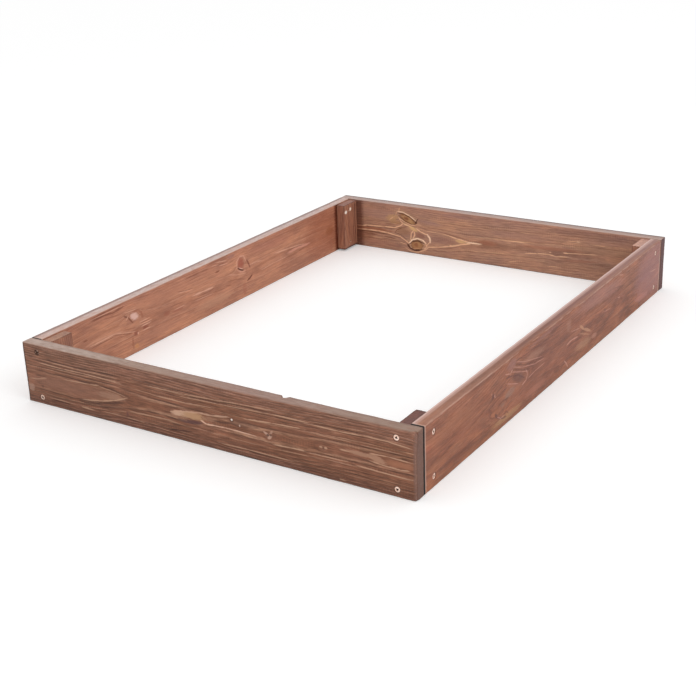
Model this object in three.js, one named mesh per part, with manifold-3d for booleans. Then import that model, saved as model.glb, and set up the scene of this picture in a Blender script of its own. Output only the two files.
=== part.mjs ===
// A raised garden bed: an open, bottomless frame of four planed softwood boards. The front and back
// boards run the full width, the side boards sit between them, and two countersunk screws hold each
// end of each board to a short post in the corner.
//
// Millimetres, +Z up. The origin is on the ground in the middle of the frame. X runs along the front
// board and Y from the front board to the back one.

import * as THREE from 'three';
import { mergeVertices } from 'three/addons/utils/BufferGeometryUtils.js';
import Module from 'manifold-3d';

const wasm = await Module();
wasm.setup();

// ---- Driving dimensions ---------------------------------------------------------------------

const BED_WIDTH = 700; // outside of the frame, along X
const BED_DEPTH = 950; // outside of the frame, along Y

const BOARD_HEIGHT = 100;
const BOARD_THICKNESS = 20;
const BOARD_ARRIS = 1.5; // radius planed on the long edges
const BOARD_END_CHAMFER = 0.8; // broken edge round a sawn end

const POST_WIDTH = 18; // along X, flat against the side board
const POST_DEPTH = 50; // along Y
const POST_ARRIS = 1;
const POST_END_CHAMFER = 0.6;
const POST_TOP_DROP = 2.5; // the posts stop short of the boards' top edge
const POST_BOTTOM_LIFT = 3; // and don't reach the ground

const FACE_CLEARANCE = 0.3; // between pieces that lie against each other
const END_JOINT = 1; // open joint between a side board's sawn end and the board across it

const SCREW_LENGTH = 40;
const HEAD_DIAMETER = 8.6;
const HEAD_RIM = 0.5; // upright edge of the head, above its 90 degree cone
const HEAD_SINK = 0.4; // the head lies a little below the board's face
const SHANK_DIAMETER = 3.2;
const SHANK_LENGTH = 18; // head and plain shank together
const CORE_DIAMETER = 2.8;
const THREAD_DIAMETER = 4.2;
const THREAD_PITCH = 3;
const TIP_LENGTH = 6;
const TIP_DIAMETER = 0.4;
const RECESS_SPAN = 4.8; // cross recess, across the ends of its arms
const RECESS_WIDTH = 1.1;
const RECESS_DEPTH = 2.4;
const HOLE_CLEARANCE = 0.3; // between a screw and the wood round it

const SCREW_FROM_BOTTOM = 11; // front and back boards' lower screws
const SCREW_FROM_TOP = 13; // and their upper ones
const SCREW_STAGGER = 5; // side screws pass this much above or below the others
const SIDE_SCREW_SHIFT = 3.5; // side screws lie past the post's middle, away from the corner

// ---- Drawing resolution ---------------------------------------------------------------------

const ARRIS_STEPS = 2;
const HEAD_SIDES = 16;
const HOLE_SIDES = 12;
const THREAD_SIDES = 8;

// ---- Places worked out from the dimensions --------------------------------------------------

const UP = new THREE.Vector3(0, 0, 1);
const postCentreX = BED_WIDTH / 2 - BOARD_THICKNESS - FACE_CLEARANCE - POST_WIDTH / 2;
const postCentreY = BED_DEPTH / 2 - BOARD_THICKNESS - FACE_CLEARANCE - POST_DEPTH / 2;
const postHeight = BOARD_HEIGHT - POST_TOP_DROP - POST_BOTTOM_LIFT;
const sideBoardLength = BED_DEPTH - 2 * (BOARD_THICKNESS + END_JOINT);
const lowerScrewZ = SCREW_FROM_BOTTOM;
const upperScrewZ = BOARD_HEIGHT - SCREW_FROM_TOP;

// ---- Materials ------------------------------------------------------------------------------

const frontStain = new THREE.MeshStandardMaterial({ color: 0x825c4a, roughness: 0.62, metalness: 0 });
const sideStain = new THREE.MeshStandardMaterial({ color: 0x9a6854, roughness: 0.6, metalness: 0 });
const postStain = new THREE.MeshStandardMaterial({ color: 0x7c4f3f, roughness: 0.66, metalness: 0 });
const yellowZinc = new THREE.MeshStandardMaterial({ color: 0xc9a468, roughness: 0.35, metalness: 1 });

// ---- Solids: joining and cutting ------------------------------------------------------------

// A closed geometry as a solid, with the vertices that its faces share merged.
function toSolid(geometry) {
  const bare = geometry.clone();
  bare.deleteAttribute('normal');
  bare.deleteAttribute('uv');
  const merged = mergeVertices(bare, 1e-4);
  return new wasm.Manifold(new wasm.Mesh({
    numProp: 3,
    vertProperties: new Float32Array(merged.getAttribute('position').array),
    triVerts: new Uint32Array(merged.getIndex().array),
  }));
}

function toGeometry(solid) {
  const { vertProperties, triVerts } = solid.getMesh();
  const geometry = new THREE.BufferGeometry();
  geometry.setAttribute('position', new THREE.BufferAttribute(vertProperties, 3));
  geometry.setIndex(new THREE.BufferAttribute(triVerts, 1));
  geometry.computeVertexNormals();
  return geometry;
}

// ---- Wood -----------------------------------------------------------------------------------

// The outline of a batten's section with its four corners rounded.
function roundedSection(width, depth, radius) {
  const x = width / 2;
  const y = depth / 2;
  const section = new THREE.Shape();
  section.moveTo(-x + radius, -y);
  section.lineTo(x - radius, -y);
  section.absarc(x - radius, -y + radius, radius, -Math.PI / 2, 0);
  section.lineTo(x, y - radius);
  section.absarc(x - radius, y - radius, radius, 0, Math.PI / 2);
  section.lineTo(-x + radius, y);
  section.absarc(-x + radius, y - radius, radius, Math.PI / 2, Math.PI);
  section.lineTo(-x, -y + radius);
  section.absarc(-x + radius, -y + radius, radius, Math.PI, 1.5 * Math.PI);
  return section;
}

// A planed batten that stands on the origin along +Z, with its sawn ends chamfered.
function batten(width, depth, length, arris, endChamfer) {
  const geometry = new THREE.ExtrudeGeometry(roundedSection(width, depth, arris), {
    depth: length - 2 * endChamfer,
    curveSegments: ARRIS_STEPS,
    bevelEnabled: true,
    bevelThickness: endChamfer,
    bevelSize: endChamfer,
    bevelOffset: -endChamfer,
    bevelSegments: 1,
  });
  return geometry.translate(0, 0, endChamfer);
}

// A board on edge: its length along X, its thickness along Y, resting on the ground.
function board(length) {
  const geometry = batten(BOARD_THICKNESS, BOARD_HEIGHT, length, BOARD_ARRIS, BOARD_END_CHAMFER);
  geometry.translate(0, BOARD_HEIGHT / 2, -length / 2);
  const layOnEdge = new THREE.Matrix4().makeBasis(
    new THREE.Vector3(0, 1, 0),
    new THREE.Vector3(0, 0, 1),
    new THREE.Vector3(1, 0, 0),
  );
  return geometry.applyMatrix4(layOnEdge);
}

function post() {
  return batten(POST_WIDTH, POST_DEPTH, postHeight, POST_ARRIS, POST_END_CHAMFER);
}

// ---- Screws: along +Y, with the top of the head at the origin -------------------------------

// Head and plain shank, turned about the screw's axis.
function screwHead(reach) {
  const cone = (HEAD_DIAMETER - SHANK_DIAMETER) / 2;
  return new THREE.LatheGeometry([
    new THREE.Vector2(0, 0),
    new THREE.Vector2(HEAD_DIAMETER / 2, 0),
    new THREE.Vector2(HEAD_DIAMETER / 2, HEAD_RIM),
    new THREE.Vector2(SHANK_DIAMETER / 2, HEAD_RIM + cone),
    new THREE.Vector2(SHANK_DIAMETER / 2, reach),
    new THREE.Vector2(0, reach),
  ], HEAD_SIDES);
}

// The threaded length, from the plain shank to the point. Three rows of vertices wind round the core
// for each turn: the thread's upper foot, its crest and its lower foot. A row that reaches an end of
// the thread lies flat on it, which closes the surface there.
function screwThread(start) {
  const length = SCREW_LENGTH - start;
  const rowsPerTurn = 3;
  const rowOffsets = [0, 0.18, 0.36];
  const turns = Math.ceil(length / THREAD_PITCH) + 1;
  const rows = turns * rowsPerTurn;

  const coreRadius = (along) => THREE.MathUtils.mapLinear(
    Math.max(along, length - TIP_LENGTH), length - TIP_LENGTH, length, CORE_DIAMETER / 2, TIP_DIAMETER / 2);
  const threadDepth = (along) => (THREAD_DIAMETER - CORE_DIAMETER) / 2
    * THREE.MathUtils.clamp(Math.min(along / THREAD_PITCH, (length - along) / TIP_LENGTH), 0, 1);

  const vertex = (row, side) => {
    const turn = Math.floor(row / rowsPerTurn) - 1;
    const rowInTurn = row % rowsPerTurn;
    const along = THREE.MathUtils.clamp(
      THREAD_PITCH * (turn + rowOffsets[rowInTurn] + side / THREAD_SIDES), 0, length);
    const radius = coreRadius(along) + (rowInTurn === 1 ? threadDepth(along) : 0);
    const angle = (side / THREAD_SIDES) * 2 * Math.PI;
    return new THREE.Vector3(radius * Math.sin(angle), start + along, radius * Math.cos(angle));
  };

  const positions = [];
  const triangle = (a, b, c) => {
    const flat = a.distanceTo(b) < 1e-4 || b.distanceTo(c) < 1e-4 || c.distanceTo(a) < 1e-4;
    if (!flat) positions.push(...a.toArray(), ...b.toArray(), ...c.toArray());
  };
  for (let row = 0; row < rows; row += 1) {
    for (let side = 0; side < THREAD_SIDES; side += 1) {
      const last = side === THREAD_SIDES - 1;
      const nextSide = last ? 0 : side + 1;
      const nextRow = last ? row + rowsPerTurn : row;
      const a = vertex(row, side);
      const b = vertex(nextRow, nextSide);
      const c = vertex(nextRow + 1, nextSide);
      const d = vertex(row + 1, side);
      triangle(a, b, d);
      triangle(b, c, d);
    }
  }
  const startCentre = new THREE.Vector3(0, start, 0);
  const point = new THREE.Vector3(0, SCREW_LENGTH, 0);
  const endRow = rows + rowsPerTurn;
  for (let side = 0; side < THREAD_SIDES; side += 1) {
    const nextSide = (side + 1) % THREAD_SIDES;
    triangle(startCentre, vertex(0, nextSide), vertex(0, side));
    triangle(point, vertex(endRow, side), vertex(endRow, nextSide));
  }
  const geometry = new THREE.BufferGeometry();
  geometry.setAttribute('position', new THREE.Float32BufferAttribute(positions, 3));
  return geometry;
}

// One arm pair of the cross recess: a blade that narrows downwards into the head.
function recessBlade() {
  const proud = 0.5;
  const blade = new THREE.Shape();
  blade.moveTo(-RECESS_SPAN / 2, -proud);
  blade.lineTo(RECESS_SPAN / 2, -proud);
  blade.lineTo(RECESS_SPAN / 2, 0);
  blade.lineTo(RECESS_WIDTH / 2, RECESS_DEPTH);
  blade.lineTo(-RECESS_WIDTH / 2, RECESS_DEPTH);
  blade.lineTo(-RECESS_SPAN / 2, 0);
  const geometry = new THREE.ExtrudeGeometry(blade, { depth: RECESS_WIDTH, bevelEnabled: false });
  return geometry.translate(0, 0, -RECESS_WIDTH / 2);
}

function screw() {
  const threadStart = SHANK_LENGTH - THREAD_PITCH / 2;
  const crossed = toSolid(recessBlade().rotateY(Math.PI / 2));
  const recess = toSolid(recessBlade()).add(crossed);
  return toSolid(screwHead(SHANK_LENGTH)).add(toSolid(screwThread(threadStart))).subtract(recess);
}

// The space that a screw takes in the wood, with the clearance all round it.
function screwHole() {
  const headRadius = HEAD_DIAMETER / 2 + HOLE_CLEARANCE;
  const boreRadius = Math.max(THREAD_DIAMETER, SHANK_DIAMETER) / 2 + HOLE_CLEARANCE;
  const coneStart = HEAD_RIM + HOLE_CLEARANCE * (Math.SQRT2 - 1);
  const aboveFace = HEAD_SINK + 1;
  return toSolid(new THREE.LatheGeometry([
    new THREE.Vector2(0, -aboveFace),
    new THREE.Vector2(headRadius, -aboveFace),
    new THREE.Vector2(headRadius, coneStart),
    new THREE.Vector2(boreRadius, coneStart + headRadius - boreRadius),
    new THREE.Vector2(boreRadius, SCREW_LENGTH - TIP_LENGTH),
    new THREE.Vector2(TIP_DIAMETER / 2 + HOLE_CLEARANCE, SCREW_LENGTH + HOLE_CLEARANCE),
    new THREE.Vector2(0, SCREW_LENGTH + HOLE_CLEARANCE),
  ], HOLE_SIDES));
}

// ---- Assembly -------------------------------------------------------------------------------

const ends = [{ name: 'front', sign: -1 }, { name: 'back', sign: 1 }];
const sides = [{ name: 'left', sign: -1 }, { name: 'right', sign: 1 }];
const levels = [{ name: 'lower', z: lowerScrewZ, shift: 1 }, { name: 'upper', z: upperScrewZ, shift: -1 }];

const placed = (x, y, z, turn) => new THREE.Matrix4()
  .makeRotationAxis(UP, turn)
  .setPosition(x, y, z);

// Each screw: the two pieces that it joins, and its place, driven along its own +Y.
const screwPlaces = [];
for (const end of ends) {
  for (const side of sides) {
    const corner = `${end.name}_${side.name}_post`;
    for (const level of levels) {
      screwPlaces.push({
        name: `${end.name}_screw_${side.name}_${level.name}`,
        joins: [`${end.name}_board`, corner],
        matrix: placed(
          side.sign * postCentreX,
          end.sign * (BED_DEPTH / 2 - HEAD_SINK),
          level.z,
          end.sign < 0 ? 0 : Math.PI,
        ),
      });
      screwPlaces.push({
        name: `${side.name}_screw_${end.name}_${level.name}`,
        joins: [`${side.name}_board`, corner],
        matrix: placed(
          side.sign * (BED_WIDTH / 2 - HEAD_SINK),
          end.sign * (postCentreY - SIDE_SCREW_SHIFT),
          level.z + level.shift * SCREW_STAGGER,
          side.sign * Math.PI / 2,
        ),
      });
    }
  }
}

const bed = new THREE.Group();
const frame = new THREE.Group();
const posts = new THREE.Group();
const screws = new THREE.Group();
bed.add(frame, posts, screws);

const hole = screwHole();

// Adds a wooden piece, with a hole in it for each screw that passes through it.
function addWood(group, name, geometry, material, matrix) {
  const toPiece = matrix.clone().invert();
  let solid = toSolid(geometry);
  for (const place of screwPlaces.filter((candidate) => candidate.joins.includes(name))) {
    const holeInPiece = toPiece.clone().multiply(place.matrix);
    solid = solid.subtract(hole.transform(holeInPiece.toArray()));
  }
  const mesh = new THREE.Mesh(toGeometry(solid), material);
  mesh.name = name;
  mesh.applyMatrix4(matrix);
  group.add(mesh);
}

for (const end of ends) {
  const y = end.sign * (BED_DEPTH - BOARD_THICKNESS) / 2;
  addWood(frame, `${end.name}_board`, board(BED_WIDTH), frontStain, placed(0, y, 0, 0));
  for (const side of sides) {
    const corner = placed(side.sign * postCentreX, end.sign * postCentreY, POST_BOTTOM_LIFT, 0);
    addWood(posts, `${end.name}_${side.name}_post`, post(), postStain, corner);
  }
}
for (const side of sides) {
  const x = side.sign * (BED_WIDTH - BOARD_THICKNESS) / 2;
  addWood(frame, `${side.name}_board`, board(sideBoardLength), sideStain, placed(x, 0, 0, Math.PI / 2));
}

const screwGeometry = toGeometry(screw());
for (const place of screwPlaces) {
  const mesh = new THREE.Mesh(screwGeometry, yellowZinc);
  mesh.name = place.name;
  mesh.applyMatrix4(place.matrix);
  screws.add(mesh);
}

export default bed;
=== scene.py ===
# %% [markdown]
# # A raised garden bed of stained pine
#
# The bed is an open frame that stands on the ground: four boards, a short post inside each corner, and
# sixteen countersunk screws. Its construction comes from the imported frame, which gives every piece its
# place and size. This script gives those pieces their finish: grain, knots, stain, worn edges, screw heads
# and torn fibres.

# %% Load the frame
import math
import bpy
import bmesh
from mathutils import Matrix, Vector


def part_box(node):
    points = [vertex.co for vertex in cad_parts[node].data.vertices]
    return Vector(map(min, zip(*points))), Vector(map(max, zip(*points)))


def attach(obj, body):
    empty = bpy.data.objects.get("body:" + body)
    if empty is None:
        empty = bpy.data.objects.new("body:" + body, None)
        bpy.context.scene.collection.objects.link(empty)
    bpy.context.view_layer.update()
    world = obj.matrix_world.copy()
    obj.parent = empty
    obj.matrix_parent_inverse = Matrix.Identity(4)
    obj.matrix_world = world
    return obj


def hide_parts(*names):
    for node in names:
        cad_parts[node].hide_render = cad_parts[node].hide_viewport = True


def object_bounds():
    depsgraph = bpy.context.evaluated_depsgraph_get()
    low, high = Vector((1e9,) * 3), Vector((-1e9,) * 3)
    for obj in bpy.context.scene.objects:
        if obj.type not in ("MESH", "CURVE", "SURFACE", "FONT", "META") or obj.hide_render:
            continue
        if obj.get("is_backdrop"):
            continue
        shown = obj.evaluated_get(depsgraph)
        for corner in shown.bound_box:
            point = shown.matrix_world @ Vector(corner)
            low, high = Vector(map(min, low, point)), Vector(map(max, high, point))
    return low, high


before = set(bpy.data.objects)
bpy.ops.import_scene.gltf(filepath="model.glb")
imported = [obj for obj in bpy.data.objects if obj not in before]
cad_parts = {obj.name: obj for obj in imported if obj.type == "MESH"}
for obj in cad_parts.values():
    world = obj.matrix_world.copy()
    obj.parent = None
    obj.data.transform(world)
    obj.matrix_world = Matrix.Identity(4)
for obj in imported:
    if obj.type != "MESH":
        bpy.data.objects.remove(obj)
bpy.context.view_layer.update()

MM = 0.001

# %% [markdown]
# ## Helpers
#
# Blender's colours are linear light, but people pick colours as sRGB hex values, so one function converts
# them. Node trees for the shape and for the finish are both built from nodes, so one function adds a node:
# it sets the node's options, links the inputs that come from other nodes, and writes plain values into the
# rest. The other helpers start and end a material or a recipe, so that every piece ends in the same way.

# %% Colour and node helpers
MATH, VECTOR, MIX = "ShaderNodeMath", "ShaderNodeVectorMath", "ShaderNodeMix"
RANGE, NOISE, CURVE = "ShaderNodeMapRange", "ShaderNodeTexNoise", "ShaderNodeFloatCurve"
PRINCIPLED, BUMP = "ShaderNodeBsdfPrincipled", "ShaderNodeBump"


def linear(hex_colour):
    """An sRGB hex colour as the linear RGBA that Blender's sockets take."""
    channels = [int(hex_colour[i:i + 2], 16) / 255 for i in (1, 3, 5)]
    return [c / 12.92 if c <= 0.04045 else ((c + 0.055) / 1.055) ** 2.4 for c in channels] + [1.0]


def add(tree, kind, inputs=None, out=0, **settings):
    """Adds a node, sets its options, links or fills its inputs, and returns one of its output sockets."""
    made = tree.nodes.new(kind)
    for option, value in settings.items():
        setattr(made, option, value)
    for key, value in (inputs or {}).items():
        if isinstance(value, bpy.types.NodeSocket):
            tree.links.new(value, made.inputs[key])
        else:
            made.inputs[key].default_value = value
    return made.outputs[out]


def bend_curve(socket, points, handle="VECTOR"):
    """Gives a Float Curve node its points, in the real units of what it turns into what."""
    mapping = socket.node.mapping
    mapping.use_clip = False
    curve = mapping.curves[0]
    for _ in points[2:]:
        curve.points.new(0.5, 0.5)
    for point, place in zip(curve.points, sorted(points)):
        point.location = place
        point.handle_type = handle
    mapping.update()
    return socket


def pattern(tree, place, reach, move, detail, roughness=0.5):
    """Noise whose grains are reach millimetres long, thick and high; move shifts it for each timber."""
    at = add(tree, VECTOR, {0: place, 1: [1 / r for r in reach], 2: move}, operation="MULTIPLY_ADD")
    return add(tree, NOISE, {"Vector": at, "Scale": 1.0, "Detail": detail, "Roughness": roughness})


def new_finish(name):
    """An empty material and its node tree."""
    finish = bpy.data.materials.new(name)
    finish.use_nodes = True
    finish.node_tree.nodes.clear()
    return finish, finish.node_tree


def surface(tree, shader):
    """Makes a shader the surface of its material."""
    tree.links.new(shader, tree.nodes.new("ShaderNodeOutputMaterial").inputs["Surface"])


def ramp(tree, value, *stops):
    """Colours a value from 0 to 1 by (position, colour) stops."""
    made = add(tree, "ShaderNodeValToRGB", {"Fac": value})
    elements = made.node.color_ramp.elements
    for _ in stops[2:]:
        elements.new(0.5)
    for element, (position, colour) in zip(elements, stops):
        element.position, element.color = position, linear(colour)
    return made


def new_recipe(name, **inputs):
    """An empty Geometry Nodes tree with named inputs, and the sockets that they arrive at."""
    tree = bpy.data.node_groups.new(name, "GeometryNodeTree")
    tree.interface.new_socket("Geometry", in_out="OUTPUT", socket_type="NodeSocketGeometry")
    for label, kind in inputs.items():
        tree.interface.new_socket(label.replace("_", " "), in_out="INPUT", socket_type="NodeSocket" + kind)
    return tree, add(tree, "NodeGroupInput").node.outputs


def close_recipe(tree, made, finish, sharp_fold=None):
    """Ends a recipe as a real mesh with its finish. Edges that fold past sharp_fold degrees stay sharp."""
    if sharp_fold:
        fold = add(tree, "GeometryNodeInputMeshEdgeAngle")
        soft = add(tree, "FunctionNodeCompare", {0: fold, 1: math.radians(sharp_fold)}, operation="LESS_THAN")
        for domain, smooth in (("FACE", True), ("EDGE", soft)):
            made = add(tree, "GeometryNodeSetShadeSmooth", {"Geometry": made, "Shade Smooth": smooth},
                       domain=domain)
    made = add(tree, "GeometryNodeRealizeInstances", {"Geometry": made})
    made = add(tree, "GeometryNodeSetMaterial", {"Geometry": made, "Material": finish})
    tree.links.new(made, tree.nodes.new("NodeGroupOutput").inputs[0])


def point_values(mesh, label, kind, values):
    """Writes one value for each vertex of a mesh, which node trees read by its label."""
    written = mesh.attributes.new(label, kind, "POINT")
    for item, value in zip(written.data, values):
        setattr(item, "vector" if kind == "FLOAT_VECTOR" else "value", value)


print("white as linear light:", linear("#ffffff"))

# %% [markdown]
# ## The camera
#
# The camera stands about two metres off, a little above the bed, and is rolled by two degrees. A camera's
# own axes are its right, its up and the way back from what it looks at, so those three columns turn it.

# %% Camera
CAMERA_PLACE = Vector((1.08678, -1.77434, 0.81997))
CAMERA_FORWARD = Vector((-0.501759, 0.780689, -0.372508))
CAMERA_UP = Vector((-0.170887, 0.332692, 0.927423))
CAMERA_LENS = 66.665

lens = bpy.data.cameras.new("camera")
lens.lens = CAMERA_LENS
lens.sensor_width = 36.0
lens.clip_start, lens.clip_end = 0.05, 100.0
camera = bpy.data.objects.new("camera", lens)
camera_right = CAMERA_FORWARD.cross(CAMERA_UP).normalized()
camera_up = camera_right.cross(CAMERA_FORWARD).normalized()
turn = Matrix((camera_right, camera_up, -CAMERA_FORWARD.normalized())).transposed()
camera.matrix_world = Matrix.Translation(CAMERA_PLACE) @ turn.to_4x4()
bpy.context.scene.collection.objects.link(camera)
bpy.context.scene.camera = camera
bpy.context.scene.view_settings.view_transform = "Standard"
print("camera:", [round(v, 3) for v in camera.location])

# %% [markdown]
# ## The studio
#
# A product picture on white has soft light from all sides and one large lamp to model the form. The world
# lights the wood at a plain level, while camera and glossy rays see it as white. The floor does the same:
# its own diffuse white bounces light, and a share that only camera and glossy rays see lifts it to white,
# so the soft shadow under the boards stays.

# %% World, lamp and floor
WORLD_LEVEL = 0.85
KEY_POWER = 24.0
KEY_SIZE = 2.4
KEY_PLACE = Vector((2.6, -0.9, 2.3))
FLOOR_REACH = 25.0
FLOOR_LIFT = 0.23
FLOOR_HEIGHT = -0.3 * MM


def seen_as_white(tree, dim, bright):
    """The strength for a ray: bright for camera, glossy and transmission rays, dim for the rest."""
    path = add(tree, "ShaderNodeLightPath").node
    direct = add(tree, MATH, {0: path.outputs["Is Camera Ray"], 1: path.outputs["Is Glossy Ray"]},
                 operation="MAXIMUM")
    seen = add(tree, MATH, {0: direct, 1: path.outputs["Is Transmission Ray"]}, operation="MAXIMUM")
    return add(tree, RANGE, {0: seen, 3: dim, 4: bright})


world = bpy.data.worlds.new("white studio")
bpy.context.scene.world = world
world.use_nodes = True
sky = world.node_tree
sky.nodes.clear()
level = seen_as_white(sky, WORLD_LEVEL, 1.0)
glow = add(sky, "ShaderNodeBackground", {"Color": (1, 1, 1, 1), "Strength": level})
sky.links.new(glow, sky.nodes.new("ShaderNodeOutputWorld").inputs["Surface"])

key = bpy.data.lights.new("key lamp", "AREA")
key.shape = "DISK"
key.size = KEY_SIZE
key.energy = KEY_POWER
key_lamp = bpy.data.objects.new("key lamp", key)
key_lamp.location = KEY_PLACE
key_lamp.rotation_euler = (-KEY_PLACE).to_track_quat("-Z", "Y").to_euler()
bpy.context.scene.collection.objects.link(key_lamp)

floor_mesh = bpy.data.meshes.new("floor")
corners = [(x * FLOOR_REACH, y * FLOOR_REACH, FLOOR_HEIGHT) for x, y in ((-1, -1), (1, -1), (1, 1), (-1, 1))]
floor_mesh.from_pydata(corners, [], [(0, 1, 2, 3)])
floor = bpy.data.objects.new("floor", floor_mesh)
bpy.context.scene.collection.objects.link(floor)
paper, tree = new_finish("white paper floor")
matt = add(tree, "ShaderNodeBsdfDiffuse", {"Color": linear("#f2f2f2")})
lift = add(tree, "ShaderNodeEmission", {"Strength": seen_as_white(tree, 0.0, FLOOR_LIFT)})
surface(tree, add(tree, "ShaderNodeAddShader", {0: matt, 1: lift}))
floor_mesh.materials.append(paper)
floor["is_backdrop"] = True
print("studio: world", WORLD_LEVEL, "lamp", KEY_POWER, "W")

# %% [markdown]
# ## How a pine board gets its figure
#
# A log is a stack of growth cones round its pith, and a board is a flat slice of them. Where the slice runs
# along a cone it cuts long flames and closed lenses, and where it crosses the cones steeply it shows close
# stripes. So each board here is described as a slice: how high and how far behind its show face the pith
# runs, and how wide the years' rings are. A branch is a rod through the rings, which lifts them round it.
# The same description shapes the raised grain in the mesh and colours the surface, so the two always agree.
#
# Each timber has its own frame in millimetres: w along the grain, v into the wood from the show face and u
# up.

# %% The logs that the boards were sawn from
# pith height: (w, u), pith depth: (w, distance from the show face), years: (radius, ring number)
# knots: (w, u, half length, half height, tilt in degrees, lift in mm)
FRONT_LOG = dict(
    pith_height=[(0, 42), (120, 41), (210, 45), (330, 44), (465, 43), (590, 49), (700, 50)],
    pith_depth=[(0, 25.0), (125, 25.2), (175, 27.2), (210, 29.6), (250, 31.0), (300, 31.2), (400, 31.2),
                (500, 31.2), (600, 31.0), (700, 30.6)],
    years=[(10, 0), (22.6, 1), (29.15, 2), (33.2, 3), (36.8, 4), (40.3, 5), (75, 15)],
    knots=[(465, 43, 4.5, 4.5, 20, 0.8), (555, 45, 4, 3, 0, 0.6)],
    grain_wave=0.55, seed=3.0)
BACK_LOG = dict(
    pith_height=[(0, 39), (60, 39), (100, 41.5), (130, 41), (175, 40), (225, 36), (300, 38.5), (330, 40),
                 (450, 45), (600, 50), (700, 50)],
    pith_depth=[(0, 28.9), (60, 28.85), (100, 28.3), (135, 27.6), (170, 26.5), (225, 24.5), (250, 25.6),
                (280, 28.0), (300, 28.95), (330, 29.2), (400, 29.9), (500, 29.5), (600, 29.4), (700, 30)],
    years=[(5, 0), (20, 1), (29.15, 2), (33.4, 3), (37.2, 4), (41, 5), (76, 14)],
    knots=[(160, 73, 22, 8.5, -24, 3.0), (183, 20, 14, 11, 0, 3.0)],
    grain_wave=0.5, seed=11.0)
RIGHT_LOG = dict(
    pith_height=[(0, 30), (150, 32), (300, 55), (450, 40), (600, 42), (908, 46)],
    pith_depth=[(0, 34), (200, 31), (300, 27), (380, 30), (500, 28.6), (560, 28.0), (620, 30), (760, 29),
                (908, 33)],
    years=[(5, 0), (20, 1), (29.15, 2), (34.4, 3), (39.2, 4), (44, 5), (84, 14)],
    knots=[(226, 28, 15, 10, -15, 5.0), (290, 66, 16, 15, 20, 7.0), (276, 97, 18, 9, 0, 4.0)],
    grain_wave=2.2, seed=23.0)
LEFT_LOG = dict(
    pith_height=[(0, 40), (150, 52), (300, 46), (500, 44), (700, 45), (908, 43)],
    pith_depth=[(0, 30), (150, 28), (300, 29.6), (420, 28.8), (500, 30), (620, 28.6), (745, 29.2), (908, 31)],
    years=[(5, 0), (20, 1), (29.15, 2), (34, 3), (38.6, 4), (43, 5), (82, 14)],
    knots=[(212, 66, 15, 11, 15, 4.0), (522, 68, 10, 13, 0, 4.0)],
    grain_wave=1.6, seed=37.0)
POST_LOG = dict(
    pith_height=[(0, 48), (100, 52)],
    pith_depth=[(0, 30), (100, 34)],
    years=[(5, 0), (20, 4), (80, 24)],
    knots=[],
    grain_wave=1.2, seed=51.0)

# %% Growth rings
WAVE_REACH, RIPPLE_REACH = (130, 40, 38), (34, 9, 7)  # of the grain's slow waves and quick ripples, in mm
RIPPLE_HEIGHT = 0.6  # in mm
KNOT_TAPER = 0.003  # each millimetre into the wood counts this much towards a knot's rim
KNOT_RAGGED = 0.22  # its rim wanders by this share
KNOT_BULGE = (0.4, 3.2)  # from where to where it lifts the rings, counting its rim as 1
FAR_FROM_KNOTS = 9.0


def growth_rings(tree, place, log):
    """Nodes for the ring number at a place in a timber, and for how near it is to a knot (1 is its rim)."""
    w, v, u = add(tree, "ShaderNodeSeparateXYZ", {0: place}).node.outputs
    height = bend_curve(add(tree, CURVE, {"Value": w}), log["pith_height"], "AUTO")
    depth = bend_curve(add(tree, CURVE, {"Value": w}), log["pith_depth"], "AUTO")
    wave = pattern(tree, place, WAVE_REACH, (log["seed"], 0, 0), 1.0)
    ripple = pattern(tree, place, RIPPLE_REACH, (0, log["seed"], 0), 2.0)
    across = add(tree, MATH, {0: u, 1: height}, operation="SUBTRACT")
    inward = add(tree, MATH, {0: v, 1: depth}, operation="ADD")
    arm = add(tree, "ShaderNodeCombineXYZ", {1: inward, 2: across})
    radius = add(tree, VECTOR, {0: arm}, out=1, operation="LENGTH")
    for sway, reach in ((wave, log["grain_wave"]), (ripple, RIPPLE_HEIGHT)):
        swell = add(tree, RANGE, {0: sway, 3: -reach, 4: reach})
        radius = add(tree, MATH, {0: radius, 1: swell}, operation="ADD")
    nearest = None
    for kw, ku, half_length, half_height, tilt, knot_lift in log["knots"]:
        off = add(tree, VECTOR, {0: place, 1: (kw, 0, ku)}, operation="SUBTRACT")
        level = add(tree, "ShaderNodeVectorRotate", {"Vector": off, "Angle": math.radians(tilt)},
                    rotation_type="Y_AXIS")
        scaled = add(tree, VECTOR, {0: level, 1: (1 / half_length, KNOT_TAPER, 1 / half_height)},
                     operation="MULTIPLY")
        ragged = add(tree, RANGE, {0: ripple, 1: 0.3, 2: 0.7, 3: 1 - KNOT_RAGGED, 4: 1 + KNOT_RAGGED})
        away = add(tree, VECTOR, {0: scaled}, out=1, operation="LENGTH")
        away = add(tree, MATH, {0: away, 1: ragged}, operation="MULTIPLY")
        bulge = add(tree, RANGE, {0: away, 1: KNOT_BULGE[0], 2: KNOT_BULGE[1], 3: knot_lift, 4: 0.0},
                    interpolation_type="SMOOTHERSTEP")
        radius = add(tree, MATH, {0: radius, 1: bulge}, operation="SUBTRACT")
        nearest = away if nearest is None else add(tree, MATH, {0: nearest, 1: away}, operation="MINIMUM")
    ring = bend_curve(add(tree, CURVE, {"Value": radius}), log["years"])
    if nearest is None:
        nearest = add(tree, "ShaderNodeValue")
        nearest.default_value = FAR_FROM_KNOTS
    return ring, nearest, w, v, u


# %% [markdown]
# ## The screws' places
#
# Sixteen screws hold the frame, four through each board. Each one's place and drive direction is read from
# its own node in the frame: its box is long in the direction that it is driven, and its head is at the
# outside.

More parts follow.
